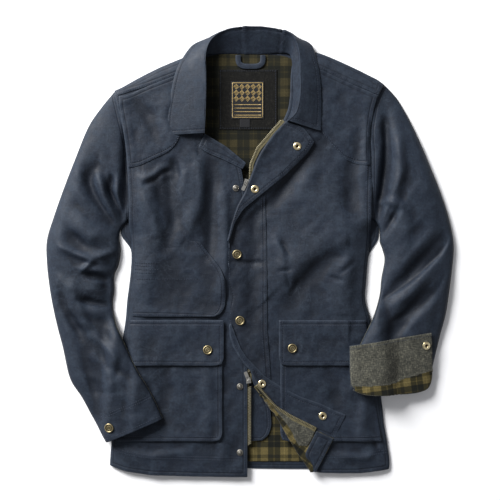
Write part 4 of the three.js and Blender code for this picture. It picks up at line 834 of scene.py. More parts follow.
layer1, layer2, layer3, layer4 = 1.5, 3.0, 4.5, 5.6  # how high each layer's face lies above the fronts, mm
patches = {  # bottom, right, top and left line of each, mm
    "yoke_right": (
        [(-224, 152), (-203, 156), (-176, 169), (-152, 180), (-139, 191), (-130, 208)],
        [(-130, 208), (-112, 250), (-98, 300), (-104, 341)],
        [(-242, 284), (-229, 284), (-185, 303), (-133, 323), (-104, 341)],
        [(-224, 152), (-228, 190), (-233, 225), (-240, 262), (-242, 284)]),
    "shoulder_right": (
        [(-243, 286), (-185, 304), (-133, 324), (-102, 343)], [(-102, 343), (-98, 360)],
        [(-249, 294), (-204, 316), (-167, 335), (-120, 354), (-98, 360)], [(-243, 286), (-249, 294)]),
    "yoke_left": (
        [(130, 221), (157, 188), (178, 166), (200, 158), (222, 156)],
        [(222, 156), (221, 190), (221, 221), (227, 258), (234, 284)],
        [(100, 341), (133, 331), (180, 309), (234, 284)],
        [(130, 221), (100, 262), (88, 300), (100, 341)]),
    "shoulder_left": (
        [(101, 344), (133, 332.6), (180, 310.6), (236, 287)], [(236, 287), (245, 304)],
        [(98, 361), (130, 362), (167, 347), (204, 330), (245, 304)], [(101, 344), (98, 361)]),
    "handwarmer_right": (
        [(-216, -122), (-100, -122.5), (-66, -122)],
        [(-66, -122), (-54, -117), (-47, -104), (-45, -80), (-46, -58), (-54, -36), (-92, 14)],
        [(-206, 4), (-150, 20), (-92, 14)], [(-216, -122), (-211, -60), (-206, 4)]),
    "neckband_right": (
        [(-94, 190), (-77, 179), (-48, 167), (-14, 150)], [(-14, 150), (-8, 160)],
        [(-84, 214), (-66, 203), (-44, 190), (-8, 160)], [(-94, 190), (-84, 214)]),
    "pocket_right": (
        [(-245, -352), (-66, -352), (-57, -349)], [(-57, -349), (-52, -341), (-52, -136)],
        [(-220, -136), (-52, -136)], [(-245, -352), (-230, -224), (-220, -136)]),
    "pocket_flap_right": (
        [(-228, -212), (-62, -212), (-53, -209)], [(-53, -209), (-49, -202), (-49, -130)],
        [(-220, -130), (-49, -130)], [(-228, -212), (-220, -130)]),
    "pocket_left": (
        [(61, -349), (71, -352), (242, -352)], [(242, -352), (222, -224), (212, -136)],
        [(57, -136), (212, -136)], [(61, -349), (57, -341), (57, -136)]),
    "pocket_flap_left": (
        [(58, -209), (67, -212), (223, -212)], [(223, -212), (213, -130)],
        [(54, -130), (213, -130)], [(58, -209), (54, -202), (54, -130)]),
}
pocketWall = {"thick": 2.4, "free": "RB", "edges": "RB"}
flapWall = {"thick": 1.9, "free": "RB", "edges": "RBT"}
frontPatches = [  # solid, height, cut, what it lies on, and what else is its own
    ("yoke_right", layer1, (0.15, 0.19, 0.0175), "front_right", {"edges": "LBT"}),
    ("shoulder_right", layer1, (0.18, 0.03, 0.0028), "front_right", {"stepSize": 2.2}),
    ("yoke_left", layer1, (0.15, 0.19, 0.0185), "front_left", {"edges": "RBT"}),
    ("shoulder_left", layer1, (0.18, 0.03, 0.0030), "front_left", {"stepSize": 2.2}),
    # the handwarmer is painted darker, as painted shade
    ("handwarmer_right", layer1, (0.17, 0.14, 0.0205), "front_right",
     {**pocketWall, "fade": "TL", "thick": 2.2, "wax": 0.5, "name": "handwarmer_cloth"}),
    ("neckband_right", layer1 + 0.6, (0.095, 0.05, 0.0019), "front_right",
     {"stepSize": 2, "thick": 1.8, "name": "neckband_cloth"}),
    ("pocket_right", layer1, (0.185, 0.22, 0.039), "front_right", pocketWall),
    ("pocket_left", layer1, (0.175, 0.22, 0.037), "front_left", {**pocketWall, "free": "LB", "edges": "LB"}),
    ("pocket_flap_right", layer2 + 0.3, (0.18, 0.083, 0.0144), "pocket_right", flapWall),
    ("pocket_flap_left", layer2 + 0.3, (0.17, 0.083, 0.0138), "pocket_left",
     {**flapWall, "free": "LB", "edges": "LBT"}),
]
for node, lift, cut, on, more in frontPatches:
    addPatch(node, lift, cut, on, patches[node], **more)

headFold = [(-38.9, 17.6), (-31, 52), (-20, 82), (-8, 103), (9, 147), (16, 166), (30, 190), (46, 212),
            (67, 235)]
footFold = [(-37, -139.7), (-35, -160), (-27, -182), (-12, -205), (2, -221), (8, -236), (14, -247)]
cornerFold = [(10, -252), (24, -268), (47, -302), (72, -345), (94, -380), (113, -407)]
flap = {
    "closed": (
        [*footFold, (38, -243)],
        [(38, -243), (37, -223), (31.5, -149), (30, 18), (28, 92), (31, 138), (45, 169), (63, 195),
         (80, 219)],
        [*headFold, (80, 219)], [(-37, -139.7), (-36, -110), (-37, -93), (-38.9, -56), (-38.9, 17.6)]),
    "head": (
        [(-38.9, 17.6), (-36.5, 21)],
        [(-36.5, 21), (-29, 50), (-13, 75), (9, 93), (37, 116), (65, 138), (87, 160), (107, 180),
         (118, 199)],
        [(67, 235), (84, 230), (98, 225), (108, 212), (118, 199)], headFold),
    "foot": (
        [*footFold, (24, -262), (36, -282), (60, -306), (96, -326), (128, -338), (154, -348)],
        [(154, -348), (165, -326), (176, -304)],
        [(-35, -137), (-27, -158), (-17, -182), (-5, -200), (11, -216), (28, -234), (56, -252), (92, -271),
         (130, -284), (157, -297), (176, -304)], [(-37, -139.7), (-35, -137)]),
}
# the storm flap is painted darker, as painted shade
addPatch("storm_flap", layer1 + 0.2, (0.075, 0.48, 0.0255), "front_left", flap["closed"], thick=1.5,
         stepSize=2.4, wax=0.8)
turnedPart = {"held": "folded", "stepSize": 2, "thick": 1.6}
addPatch("storm_flap_head", layer2 + 0.2, (0.065, 0.245, 0.0098), "storm_flap", flap["head"], edges="RT",
         puff=(headFold, 3.4, 12), free="R", **turnedPart)
addPatch("storm_flap_foot", layer2 + 0.2, (0.30, 0.055, 0.0098), "storm_flap", flap["foot"], edges="RBT",
         puff=(footFold, 2.8, 11), **turnedPart)
corner = {
    "lining": (
        cornerFold, [(113, -407), (122, -409), (133, -389), (154, -348)],
        [(13, -252), (30, -272), (46, -290), (74, -307), (96, -318), (122, -333), (154, -348)],
        [(10, -252), (13, -252)]),
    "facing": (
        [(29, -281), (48, -301), (66, -321), (90, -360)], [(90, -360), (106, -362), (120, -333)],
        [(31, -279), (48, -293), (74, -309), (98, -321), (120, -333)], [(29, -281), (31, -279)]),
    "hem": (
        [(116, -407), (121, -409)], [(121, -409), (132, -389), (153, -348)],
        [(123, -334), (138, -341), (153, -348)], [(116, -407), (101, -378), (108, -363), (123, -334)]),
}
addPatch("front_left_corner", layer3, (0.18, 0.05, 0.0055), "storm_flap_foot", corner["lining"], edges="RT",
         puff=(cornerFold, 2.8, 10), held="folded", stepSize=2, finish=lining, slot="check_lining",
         inside=shell, turn=0.9, name="corner_cloth")
facing = {"stepSize": 1.8, "thick": 0.9, "depth": 0.2, "puff": (cornerFold, 1.2, 10)}
addPatch("corner_facing", layer4, (0.11, 0.035, 0.0022), "corner", corner["facing"], finish=wool,
         slot="tweed", **facing)
addPatch("corner_hem_facing", layer4, (0.075, 0.035, 0.0021), "corner", corner["hem"], **facing)
print("patches, storm flap and turned corner laid")

# Sleeves and cuffs

rightSleeve = np.array([  # outer x, y; inner x, y; crown height; on the front; armhole curve kept
    (-252, 293, -224, 58, 13.5, 0, 1), (-277, 262, -229, 51, 16, 0, 0.6),
    (-300, 227, -237, 43, 19, 0, 0.25),
    (-322, 173, -242, 32, 21, 0, 0), (-344, 116, -242, 18, 23, 0, 0), (-363, 62, -240, -1, 24, 0, 0),
    (-376, 18, -244, -27, 24, 0, 0), (-376, -23, -252, -47, 23, 0, 0), (-372, -62, -252, -75, 22, 0, 0),
    (-366, -99, -255, -103, 21, 0, 0), (-357, -140, -248, -136, 20, 1, 0),
    (-346, -182, -235, -164, 19, 1, 0),
    (-333, -238, -211, -216, 17, 1, 0), (-311, -273, -192, -247, 16, 1, 0),
    (-292, -308, -176, -277, 15, 1, 0),
    (-276, -336, -167, -297, 15, 1, 0), (-265, -354, -161, -310, 15, 1, 0)])
leftSleeve = np.array([
    (248, 306, 224, 58, 13.5, 0, 1), (272, 280, 230, 54, 16, 0, 0.6), (294, 243, 236, 47, 19, 0, 0.25),
    (315, 199, 240, 38, 21, 0, 0), (335, 151, 241, 27, 23, 0, 0), (353, 105, 241, 15, 24, 0, 0),
    (368, 58, 246, 1, 24, 0, 0), (377, 10, 250, -19, 24, 0, 0), (374, -34, 244, -53, 23, 0, 0),
    (368, -79, 240, -86, 22, 1, 0), (362, -118, 227, -124, 21, 1, 0), (353, -152, 207, -166, 19, 1, 0),
    (345, -184, 192, -200, 17, 1, 0), (337, -218, 186, -230, 16, 1, 0), (331, -247, 186, -252, 15, 1, 0)])
sleeveFolds = [
    (-309, 147, -244, 40, 10, -5.0), (-270, 145, -236, 60, 8, -4.0), (-290, 160, -262, 70, 9, 3.5),
    (-305, -38, -255, -57, 9, -4.0), (-314, -93, -258, -103, 9, -3.5), (-342, -93, -298, -180, 14, -3.5),
    (-298, -180, -200, -245, 12, -2.5), (-300, -70, -262, -80, 10, 2.5), (248, 276, 259, 200, 12, -5.0),
    (259, 200, 240, 90, 11, -4.0), (272, 255, 276, 180, 12, 3.0), (360, 27, 245, -90, 15, -4.5),
    (370, -1, 250, -167, 14, -3.5), (345, -30, 262, -120, 14, 3.0),
]
sleeveCreases = [  # the same kind of folds, too small for the solids
    (-262, 138, -240, 62, 5, 3.2), (-300, 180, -262, 120, 7, -2.0), (-330, 150, -290, 108, 9, 1.8),
    (-320, 110, -262, 60, 8, 2.6), (-330, 96, -270, 34, 8, -2.6), (-350, 60, -290, 20, 10, 1.8),
    (-290, 10, -252, -14, 7, -2.4), (-310, -8, -262, -26, 7, 2.2), (-330, -20, -300, -40, 8, -1.6),
    (-350, -60, -300, -78, 9, 1.6), (-300, -112, -256, -124, 7, 2.4), (-330, -120, -262, -136, 8, -2.0),
    (-352, -120, -318, -190, 9, 2.0), (-300, -150, -262, -160, 7, -1.6), (-290, -200, -226, -214, 7, 1.7),
    (-262, -216, -212, -236, 6, -1.7), (-300, -232, -268, -240, 6, 1.5), (-310, -210, -285, -262, 8, -1.6),
    (-300, -262, -240, -262, 5, -1.2), (-360, 30, -352, -60, 12, 1.6), (-340, 130, -366, 60, 12, -1.4),
    (262, 250, 252, 150, 6, 2.6), (284, 260, 300, 190, 10, -1.8), (300, 220, 330, 120, 13, 1.6),
    (270, 150, 262, 90, 7, 2.2), (262, 130, 300, 60, 9, -2.2), (252, 92, 290, 76, 6, 2.4),
    (256, 70, 284, 30, 7, -2.6), (310, 120, 262, 50, 9, 2.0), (330, 60, 262, -6, 10, -2.2),
    (340, 40, 270, -40, 10, 2.2), (352, 10, 256, -110, 9, 2.4), (366, -30, 290, -130, 9, 2.0),
    (330, -80, 236, -160, 8, -2.4), (346, -96, 262, -176, 8, 1.8), (362, 80, 372, 0, 12, 1.6),
    (356, -60, 340, -140, 11, -1.8), (300, -120, 240, -150, 7, 1.8),
]
sleeveDrapes = [  # points from above to below, width on the shaded and on the lit side, rise
    ([(250, 232), (254, 180), (247, 120), (238, 70), (236, 20)], 9, 10, -9.5),
    ([(240, 96), (234, 60), (232, 24)], 7, 7, -5.0), ([(276, 214), (282, 150), (266, 110)], 7, 12, 2.6),
    ([(272, 80), (254, 89), (237, 86)], 5, 6, 4.5), ([(271, 71), (255, 45), (240, 19)], 6, 7, -7.0),
    ([(251, 76), (240, 34)], 4, 5, 3.5),
    ([(366, 22), (352, -4), (326, -29), (290, -60), (262, -78), (238, -92)], 4, 26, -7.5),
    ([(366, -34), (340, -76), (302, -111), (270, -152)], 9, 24, -5.0),
    ([(358, -16), (330, -54), (282, -88), (246, -106)], 10, 12, 2.5),
    ([(284, 62), (286, 20), (276, -12)], 14, 24, 3.5), ([(300, 220), (326, 150), (338, 90)], 22, 26, 3.0),
    ([(270, 200), (276, 140), (268, 96)], 9, 12, 3.5), ([(352, 90), (360, 30)], 12, 14, -2.6),
    ([(-283, 158), (-300, 128), (-292, 101), (-268, 69), (-246, 34)], 10, 15, -8.0),
    ([(-255, 134), (-257, 110), (-246, 86), (-235, 58)], 5, 7, -7.0),
    ([(-228, 222), (-229, 150), (-230, 80)], 6, 8, -7.0),
    ([(-232, 80), (-238, 52), (-242, 30)], 7, 7, -5.0),
    ([(-274, 132), (-268, 100), (-252, 64)], 6, 9, 3.5),
    ([(-242, 132), (-244, 100), (-234, 64)], 4, 7, 3.5),
    ([(-288, -20), (-318, -8), (-350, 6)], 5, 7, 4.4), ([(-240, -1), (-262, -8), (-278, -13)], 4.5, 9, 5.0),
    ([(-288, -20), (-308, -38)], 4.5, 5, 4.0), ([(-306, -46), (-282, -52), (-262, -54)], 5, 5, -3.2),
    ([(-250, -43), (-280, -38), (-309, -36)], 4.5, 10, 5.5),
    ([(-268, -60), (-262, -80), (-258, -98)], 12, 10, -8.5),
    ([(-256, -104), (-280, -99), (-312, -92)], 4.5, 7, -4.4), ([(-262, -20), (-248, -40)], 9, 9, -4.0),
    ([(-352, -50), (-320, -112), (-270, -172), (-226, -216)], 9, 13, 4.0),
    ([(-350, -74), (-340, -110), (-310, -156)], 9, 13, -5.0),
    ([(-330, -60), (-318, -90), (-295, -132)], 10, 10, 4.5),
    ([(-305, -100), (-289, -142)], 8, 8, -3.0), ([(-345, 96), (-354, 40), (-352, 4)], 14, 16, 3.0),
    ([(-320, 60), (-296, 30), (-262, 24)], 14, 12, 3.0), ([(-330, 30), (-300, 4)], 8, 9, -3.0),
    ([(-322, -170), (-300, -210), (-284, -262)], 10, 12, -3.6), ([(-262, -180), (-240, -206)], 9, 9, 3.0),
    ([(-290, -180), (-262, -226), (-250, -262)], 9, 12, 3.6), ([(-232, -196), (-246, -232)], 7, 8, -3.0),
]
sleeve = {
    "edge": 2.7, "square": 2.6,  # height at the seams, and how square the laid tube is
    "bridge": 18, "clear": 1.9, "onto": (-40, -5),  # how it spans the body's side and rests on the front
    "lift": 2.6, "lifted": (0.52, 0.64),  # its turned end lies higher, from these shares of its length
    "dip": 12, "dipped": (0.7, 1),  # and is bellied downwards
    "under": 1.6, "folds": 1.35, "rumple": 1.6,
}


def restHeight(x, y, over):  # the floor, or, where over is 1, the pocketed front that the sleeve lies on
    inside = np.minimum(x - rightSide(y), leftSide(y) - x)
    bridged = np.clip(x, rightSide(y) + sleeve["bridge"], leftSide(y) - sleeve["bridge"])
    onFronts = frontHeight(bridged, y) + 2 * body["layer"] + sleeve["clear"]
    return over * onFronts * smooth(*sleeve["onto"], inside)


def sleeveGrid(rows, isTop, turned, t, across):
    # rows of a laid tube, t from its top to its end: from the outer seam to the inner one, crowned
    # by (1 - a**square)**0.5, a being 0 in its middle and 1 at the seams; folds die away at the seams
    first = rows[0]
    value = curveRow(rows, t * (len(rows) - 1))[:, None, :]
    even = np.linspace(0, 1, across + 1)
    share = (0.5 * even + 0.5 * (1 - np.cos(np.pi * even)) / 2)[None]
    x = value[..., 0] + (value[..., 2] - value[..., 0]) * share
    y = value[..., 1] + (value[..., 3] - value[..., 1]) * share
    follow = np.clip(value[..., 6], 0, 1)
    seamY = first[1] + (first[3] - first[1]) * share
    seamX = rightSide(seamY) - 0.8 if first[0] < 0 else leftSide(seamY) + 0.8
    x = x + (seamX - first[0] - (first[2] - first[0]) * share) * follow
    rest = restHeight(x, y, np.clip(value[..., 5], 0, 1))
    end = t[:, None]
    if turned:
        rest = rest + sleeve["lift"] * smooth(*sleeve["lifted"], end)
        y = y - sleeve["dip"] * np.sin(np.pi * share) * smooth(*sleeve["dipped"], end)
    if isTop:
        a = np.abs(2 * share - 1)
        profile = (1 - a ** sleeve["square"]) ** 0.5
        folds = foldRise(sleeveFolds, x, y) + foldRise(sleeveCreases, x, y)
        folds = folds + sleeve["folds"] * drapeRise(sleeveDrapes, x, y)
        waves = softNoise(x + 0.5 * y, y * 0.6, 34, 31) + 0.5 * softNoise(x, y, 15, 32)
        folds = folds + sleeve["rumple"] * waves
        z = rest + sleeve["edge"] + (value[..., 4] - sleeve["edge"]) * profile + folds * profile**2
    else:
        z = rest + sleeve["under"] + 0 * x
    grid = np.stack(np.broadcast_arrays(x, y, z), axis=-1)
    if first[0] > 0:
        grid = grid[:, ::-1]
    return grid[::-1]


def addSleeve(side, rows, turned, cutTop, cutUnder):
    top = sleeveGrid(rows, True, turned, np.linspace(0, 1, 190), 52)
    laySheet(f"sleeve_{side}_top", "waxed_cotton", cutTop, top, 1.5, shell, [f"sleeve_{side}_under"],
             inside=lining, edges="T", turn=0.4)
    under = sleeveGrid(rows, False, turned, np.linspace(0, 1, 120), 30)
    laySheet(f"sleeve_{side}_under", "waxed_cotton", cutUnder, under, 1.5, wool, inside=shell, edges="B")
    return top


addSleeve("right", rightSleeve, False, (0.15, 0.56, 0.078), (0.14, 0.56, 0.071))
leftTop = addSleeve("left", leftSleeve, True, (0.15, 0.52, 0.072), (0.14, 0.52, 0.066))

cuff = {
    "fold": ((184, -253.5), (338, -249)), "top": ((183, -177), (333, -153)),  # its inner and outer corners
    "belly": 13.5,  # how much lower the middle of the fold lies than its ends
    "foldSquare": 4,  # more makes the fold straighter between rounder corners
    "rounding": 5.5,  # how far the corners of the fold are drawn in
    "high": 15.5, "clear": 1.0, "wall": 1.7,
    "reach": 7.0,  # it lies on the highest of the sleeve this near
    "seam": 272, "ruffle": 0.7,
}
# where the tweed facing ends and the check lining shows below it
cuffLiningLine = np.array([(170, -250), (240, -248.5), (268, -244), (281, -237), (345, -220)])


def cuffFlat(rows, across):
    # a straight band between its four corners, its fold bellied: x and y along and across it
    up = np.linspace(0, 1, rows)[:, None]
    even = np.linspace(0, 1, across)[None]
    share = (even + (1 - np.cos(np.pi * even)) / 2) / 2
    inner, outer = [[low[k] * (1 - up) + high[k] * up for k in (0, 1)]
                    for low, high in zip(cuff["fold"], cuff["top"])]
    x = inner[0] * (1 - share) + outer[0] * share
    y = inner[1] * (1 - share) + outer[1] * share
    side = np.abs(2 * share - 1)
    y = y - cuff["belly"] * (1 - side ** cuff["foldSquare"]) * (1 - up) ** 2
    x = x - np.sign(share - 0.5) * cuff["rounding"] * side**12 * (1 - up) ** 8
    return x, y, side


def highestNear(grid, x, y, reach):  # the highest point of a grid within reach, or far below
    near = grid[:90:2, ::2].reshape(-1, 3)
    away = np.hypot(x.ravel()[:, None] - near[None, :, 0], y.ravel()[:, None] - near[None, :, 1])
    return np.where(away < reach, near[None, :, 2], -99).max(axis=1).reshape(x.shape)


x, y, side = cuffFlat(56, 96)
own = restHeight(x, y, 1) + sleeve["lift"] + sleeve["edge"]
own = own + (cuff["high"] - sleeve["edge"]) * (1 - side ** sleeve["square"]) ** 0.5
z = np.maximum(own, highestNear(leftTop, x, y, cuff["reach"])) + cuff["clear"] + cuff["wall"]
z = softened(z, 10)
z += cuff["ruffle"] * (softNoise(x, y, 26, 41) + 0.6 * softNoise(x, y, 11, 42)) * (1 - side**6)
z -= 0.9 * bell(x - cuff["seam"] - 0.05 * (y + 200), 1.6)  # the seam sinks in
z += 0.6 * bell(y - np.interp(x, *cuffLiningLine.T), 2.5)  # and the facing's edge stands up
cuffTop = np.stack([x, y, z], axis=-1)
cuffMiddle = (cuffTop[1:, 1:] + cuffTop[:-1, :-1]) / 2
showsLining = cuffMiddle[..., 1] < np.interp(cuffMiddle[..., 0], *cuffLiningLine.T)
# the fold is thick, because it holds the bend
cuffWall = cuff["wall"] + 1.2 * bell(gridEdges(cuffTop)["B"], 6)
laySheet("cuff_left_top", "tweed", (0.155, 0.105, 0.0145), cuffTop, cuffWall, wool, ["sleeve_left_top"],
         "folded", inside=shell, edges="T", turn=0.13, patchFinish=(lining, showsLining))
x, y, side = cuffFlat(30, 40)
z = restHeight(x, y, 1) + cuff["wall"]
laySheet("cuff_left_under", "tweed", (0.155, 0.10, 0.0140), np.stack([x, y, z], axis=-1), 1.5, shell, (),
         "folded", inside=wool, edges="T")
print("sleeves and cuffs laid")

# Collar

collarRows = np.array([  # base x, y, z; roll x, y, z; edge x, y, z
    (-93, 214, 16.4, -83, 215, 27, -155, 212, 16.8), (-95, 249, 16.4, -81, 249, 30, -152, 249, 16.8),
    (-96, 286, 16.4, -80, 286, 31, -146, 286, 17), (-96, 322, 16.4, -80, 323, 31, -137, 326, 16.8),
    (-93, 347, 15.6, -81, 354, 29, -124, 355, 12), (-80, 361, 10, -76, 377, 27, -104, 381, 5),
    (-66, 363, 4.5, -62, 395, 25, -74, 391, 2), (-37, 364, 4, -38, 406, 23, -38, 381, 1.6),
    (-7, 363, 4, -9, 410, 22, -8, 378, 1.6), (22, 363, 4, 22, 410, 22, 22, 378, 1.6),
    (50, 365, 4.5, 53, 405, 23, 50, 381, 1.6), (70, 364, 6, 76, 396, 25, 87, 391, 2.5),
    (76, 354, 15, 87, 377, 27, 112, 381, 7), (78, 332, 16.4, 91, 354, 29, 121, 355, 16),
    (79, 304, 16.4, 92, 323, 30, 129, 318, 18), (79, 278, 16.4, 92, 286, 30, 131, 281, 16.8),
    (75, 254, 16.4, 85, 254, 28, 131, 249, 16.8), (66, 236, 16.4, 70, 238, 25, 130, 220, 16.8)])
collar = {
    "wall": 2.1, "rumple": 0.8, "rows": 230, "across": 30,
    "roll": 5.0, "bulge": (0.4, 0.5),  # the roll's size, and its bulge out and up as shares of it
    "upright": (1.8, 0.55),  # the same behind the neck, up as a share of the roll's height
    "wrap": 6.0, "overlap": 0.4, "crest": 0.9,  # how the fall begins behind the roll, and its top line
}


def collarGrids():
    # across: from the neck seam up the stand, over the roll and down the fall to its free edge
    station = curveRow(collarRows, np.linspace(0, len(collarRows) - 1, collar["rows"]))
    base, roll, edge = station[:, 0:3], station[:, 3:6], station[:, 6:9]
    flat = np.array([1, 1, 0])
    out = unit((roll - base) * flat)
    away = unit((edge - roll) * flat)
    bulge = roll + away * collar["roll"] * collar["bulge"][0]
    bulge[:, 2] = roll[:, 2] + collar["roll"] * collar["bulge"][1]
    upright = roll + out * collar["roll"] * collar["upright"][0]
    upright[:, 2] = roll[:, 2] * collar["upright"][1]
    # where the free edge lies low, behind the neck, the fall drops straight down from an upright roll
    standing = (1 - smooth(2.0, 4.5, edge[:, 2]))[:, None]
    bulge = bulge * (1 - standing) + upright * standing
    t = np.linspace(0, 1, 12)[:, None, None]
    fall = (1 - t) ** 2 * roll + 2 * t * (1 - t) * bulge + t * t * edge
    below = roll + unit(base - roll) * collar["wrap"]
    crest = roll + np.array([0, 0, collar["crest"]])
    section = np.concatenate([below[None], ((below + roll) / 2)[None], crest[None], fall[2:]])
    fallGrid = curveRow(section, np.linspace(0, len(section) - 1, collar["across"] + 1)).transpose(1, 0, 2)
    share = np.linspace(0, 1, 13)[None, :, None]
    low = base[:, None]
    high = (roll + unit(base - roll) * (collar["wrap"] + collar["overlap"]))[:, None]
    return low + (high - low) * share, fallGrid


standGrid, fallGrid = collarGrids()
run = runAlong(fallGrid[:, 8])[:, None]
collarCreases = [(238, 4, -1.6), (246, 5, 1.3), (312, 4, -1.5), (320, 4, 1.4), (205, 6, -0.9),
                 (275, 7, 0.8)]
# each: how far along the collar, width and rise, where it bends at the back of the neck
for grid, size in ((standGrid, 0.5), (fallGrid, 1.0)):
    lay = np.linspace(0, 60, grid.shape[1])[None] + 0 * run
    unevenness = softNoise(run + 0 * lay, lay * 0.7, 26, 51) + 0.6 * softNoise(run + 0 * lay, lay, 11, 52)
    creases = sum(rise * bell(run - at, width) for at, width, rise in collarCreases)
    # the rumple and the creases go along the cloth's own normals
    rise = size * collar["rumple"] * (0.5 * unevenness + creases)
    grid += gridNormals(grid[:, ::-1])[:, ::-1] * rise[..., None]
# columns turned, from the free edge to the roll, so that the face points out
for node, grid, lay, cut, edges, on in (
        ("collar_fall", fallGrid, 78, (0.50, 0.07, 0.0275), "LTB", "collar_stand"),
        ("collar_stand", standGrid, 30, (0.50, 0.035, 0.0102), "TB", "back_lining")):
    flatMap = np.stack(np.broadcast_arrays(run, np.linspace(0, lay, grid.shape[1])[None]), axis=-1)
    laySheet(node, "waxed_cotton", cut, grid[:, ::-1], collar["wall"], shell, [on], "folded",
             flatMap=flatMap, edges=edges)
print("collar folded")

# Inside the neck and the hem

neckPatch = {"box": (-57, 50, 223, 334), "cut": (0.107, 0.111), "high": 4.15}
patchFlat = boxGrid(*neckPatch["box"], 2.2)
patchLift = neckPatch["high"] + 0.25 * noiseOn(patchFlat, 22, 61)
# the patch is in the darker copy of the tweed, painted shade
laySheet("neck_patch", "tweed", neckPatch["cut"], flatGrid(patchFlat, patchLift), 0.8, shadowed,
         ["back_lining"])

label = {"box": (-35, 26, 243, 312), "cut": (0.061, 0.069), "high": 5.1, "frame": 2.6}
laySheet("neck_label", "label", label["cut"], flatGrid(boxGrid(*label["box"], 1.6), label["high"]), 0.6,
         satin, ["neck_patch"])
sizeTab = {"box": (-18.5, 0, 227, 242), "cut": (0.0185, 0.015), "high": 5.0}
laySheet("size_tab", "label", sizeTab["cut"], flatGrid(boxGrid(*sizeTab["box"], 1.6), sizeTab["high"]),
         0.5, satin, ["neck_patch"])


def ribbonMesh(name, lines, width, high, finish):
    # flat threads: each line carries a low section of three points, closed underneath
    points, faces, start = [], [], 0
    for line, z in lines:
        line = np.asarray(line, float)
        tangent = unit(np.gradient(line, axis=0))
        side = np.stack([-tangent[:, 1], tangent[:, 0]], axis=1)
        profile = [(-0.5, 0), (-0.3, 0.8), (0, 1), (0.3, 0.8), (0.5, 0)]
        grid = np.stack([np.column_stack([line - side * a * width, np.full(len(line), z + b * high)])
                         for a, b in profile], axis=1)
        points.append(grid.reshape(-1, 3))
        faces += quadFaces(len(line), 5, start, True).tolist()
        i = np.arange(len(line) - 1) * 5 + start
        faces += np.stack([i, i + 4, i + 9, i + 5], axis=1)[:, ::-1].tolist()
        faces.append([start + k for k in (4, 3, 2, 1, 0)])
        faces.append([start + 5 * (len(line) - 1) + k for k in range(5)])
        start += 5 * len(line)
    return meshPiece(name, np.concatenate(points), faces, [finish])


def loopLine(xLow, xHigh, yLow, yHigh, count=12):
    corners = [(xLow, yLow), (xHigh, yLow), (xHigh, yHigh), (xLow, yHigh), (xLow, yLow)]
    return np.concatenate([np.linspace(corners[k], corners[k + 1], count) for k in range(4)])


# a plain woven pattern: a frame, a field of lozenges and bars below it
frameIn, high = label["frame"], label["high"]
x0, x1, y0, y1 = label["box"]
threads = [loopLine(x0 + frameIn, x1 - frameIn, y0 + frameIn, y1 - frameIn)]
for row in range(3):
    for k in range(5):
        x, y = x0 + 9.5 + 10.5 * k, 302 - 11 * row
        for half in (4.4, 2.2):
            lozenge = [(x - half, y), (x, y + half * 1.1), (x + half, y), (x, y - half * 1.1),
                       (x - half, y)]
            threads.append(np.array(lozenge))
middle = (x0 + x1) / 2
for y in (269, 262.5, 256, 249.5):
    threads.append(np.linspace((middle - 25, y), (middle + 25, y), 8))
labelThreads = ribbonMesh("neck_label_threads", [(line, high) for line in threads], 1.15, 0.35, goldThread)
finishPiece(labelThreads)

loopRun = [(-22, 360), (-22, 350), (-20, 344), (-12, 340), (0, 339.6), (14, 340), (22, 344), (24, 350),
           (24, 360)]
loopRun = softLine(loopRun, 60, 5)
loopTangent = unit(np.gradient(loopRun, axis=0))
loopSide = np.stack([-loopTangent[:, 1], loopTangent[:, 0]], axis=1)
across = np.linspace(-4, 4, 9)
loopFlat = loopRun[:, None] + loopSide[:, None] * across[None, :, None] * -1
loopHigh = 4.9 + 0.5 * np.cos(across / 4 * math.pi / 2)[None] + 0 * loopFlat[..., 0]
laySheet("hanger_loop", "waxed_cotton", (0.010, 0.08, 0.00065), flatGrid(loopFlat, loopHigh)[::-1], 1.5,
         shell, ["back_lining"], edges="LR")

guardFlat = patchGrid(
    [(-22, -354), (0, -353.5), (22, -352)],
    [(22, -352), (34, -343), (39.5, -325), (37, -291), (24, -264), (8, -249)],
    [(-22, -246), (8, -249)], [(-22, -354), (-22, -246)], 2)
guardGrid = flatGrid(guardFlat, 5.2 + 0.4 * noiseOn(guardFlat, 24, 62))
laySheet("zip_guard", "waxed_cotton", (0.06, 0.108, 0.0059), guardGrid, 1.5, shell, ["back_lining"],
         edges="RB")
print("neck pieces, label and zip guard laid")

# Rows of small shapes: stitches and zip teeth


def rowFrames(points, normals, pitch, shift=0.0):
    # places at an even pitch along a line: centre, direction, side and up of each
    points, normals = np.asarray(points, float), np.asarray(normals, float)
    run = runAlong(points)
    at = np.arange(pitch * (0.6 + shift), run[-1] - pitch * 0.5, pitch)

    def between(values, places):
        return np.stack([np.interp(places, run, values[:, k]) for k in range(3)], axis=1)

    centre, ahead, up = between(points, at), between(points, at + 0.5), unit(between(normals, at))
    tangent = unit(ahead - centre)
    side = unit(np.cross(up, tangent))
    return centre, tangent, side, np.cross(tangent, side)


def repeated(template, faces, rows):
    # the template's along, aside and up numbers carried to every place of every row
    points, count = [], 0
    for centre, *ways in rows:
        moves = [way[:, None] * template[None, :, k, None] for k, way in enumerate(ways)]
        spot = centre[:, None] + moves[0] + moves[1] + moves[2]
        points.append(spot.reshape(-1, 3))
        count += len(centre)
    start = (np.arange(count) * len(template))[:, None, None]
    return np.concatenate(points), (np.asarray(faces)[None] + start).reshape(-1, 4)


stitch = {"pitch": 4.4, "length": 3.2, "width": 0.85, "high": 0.55}  # real stitches are 3 mm apart


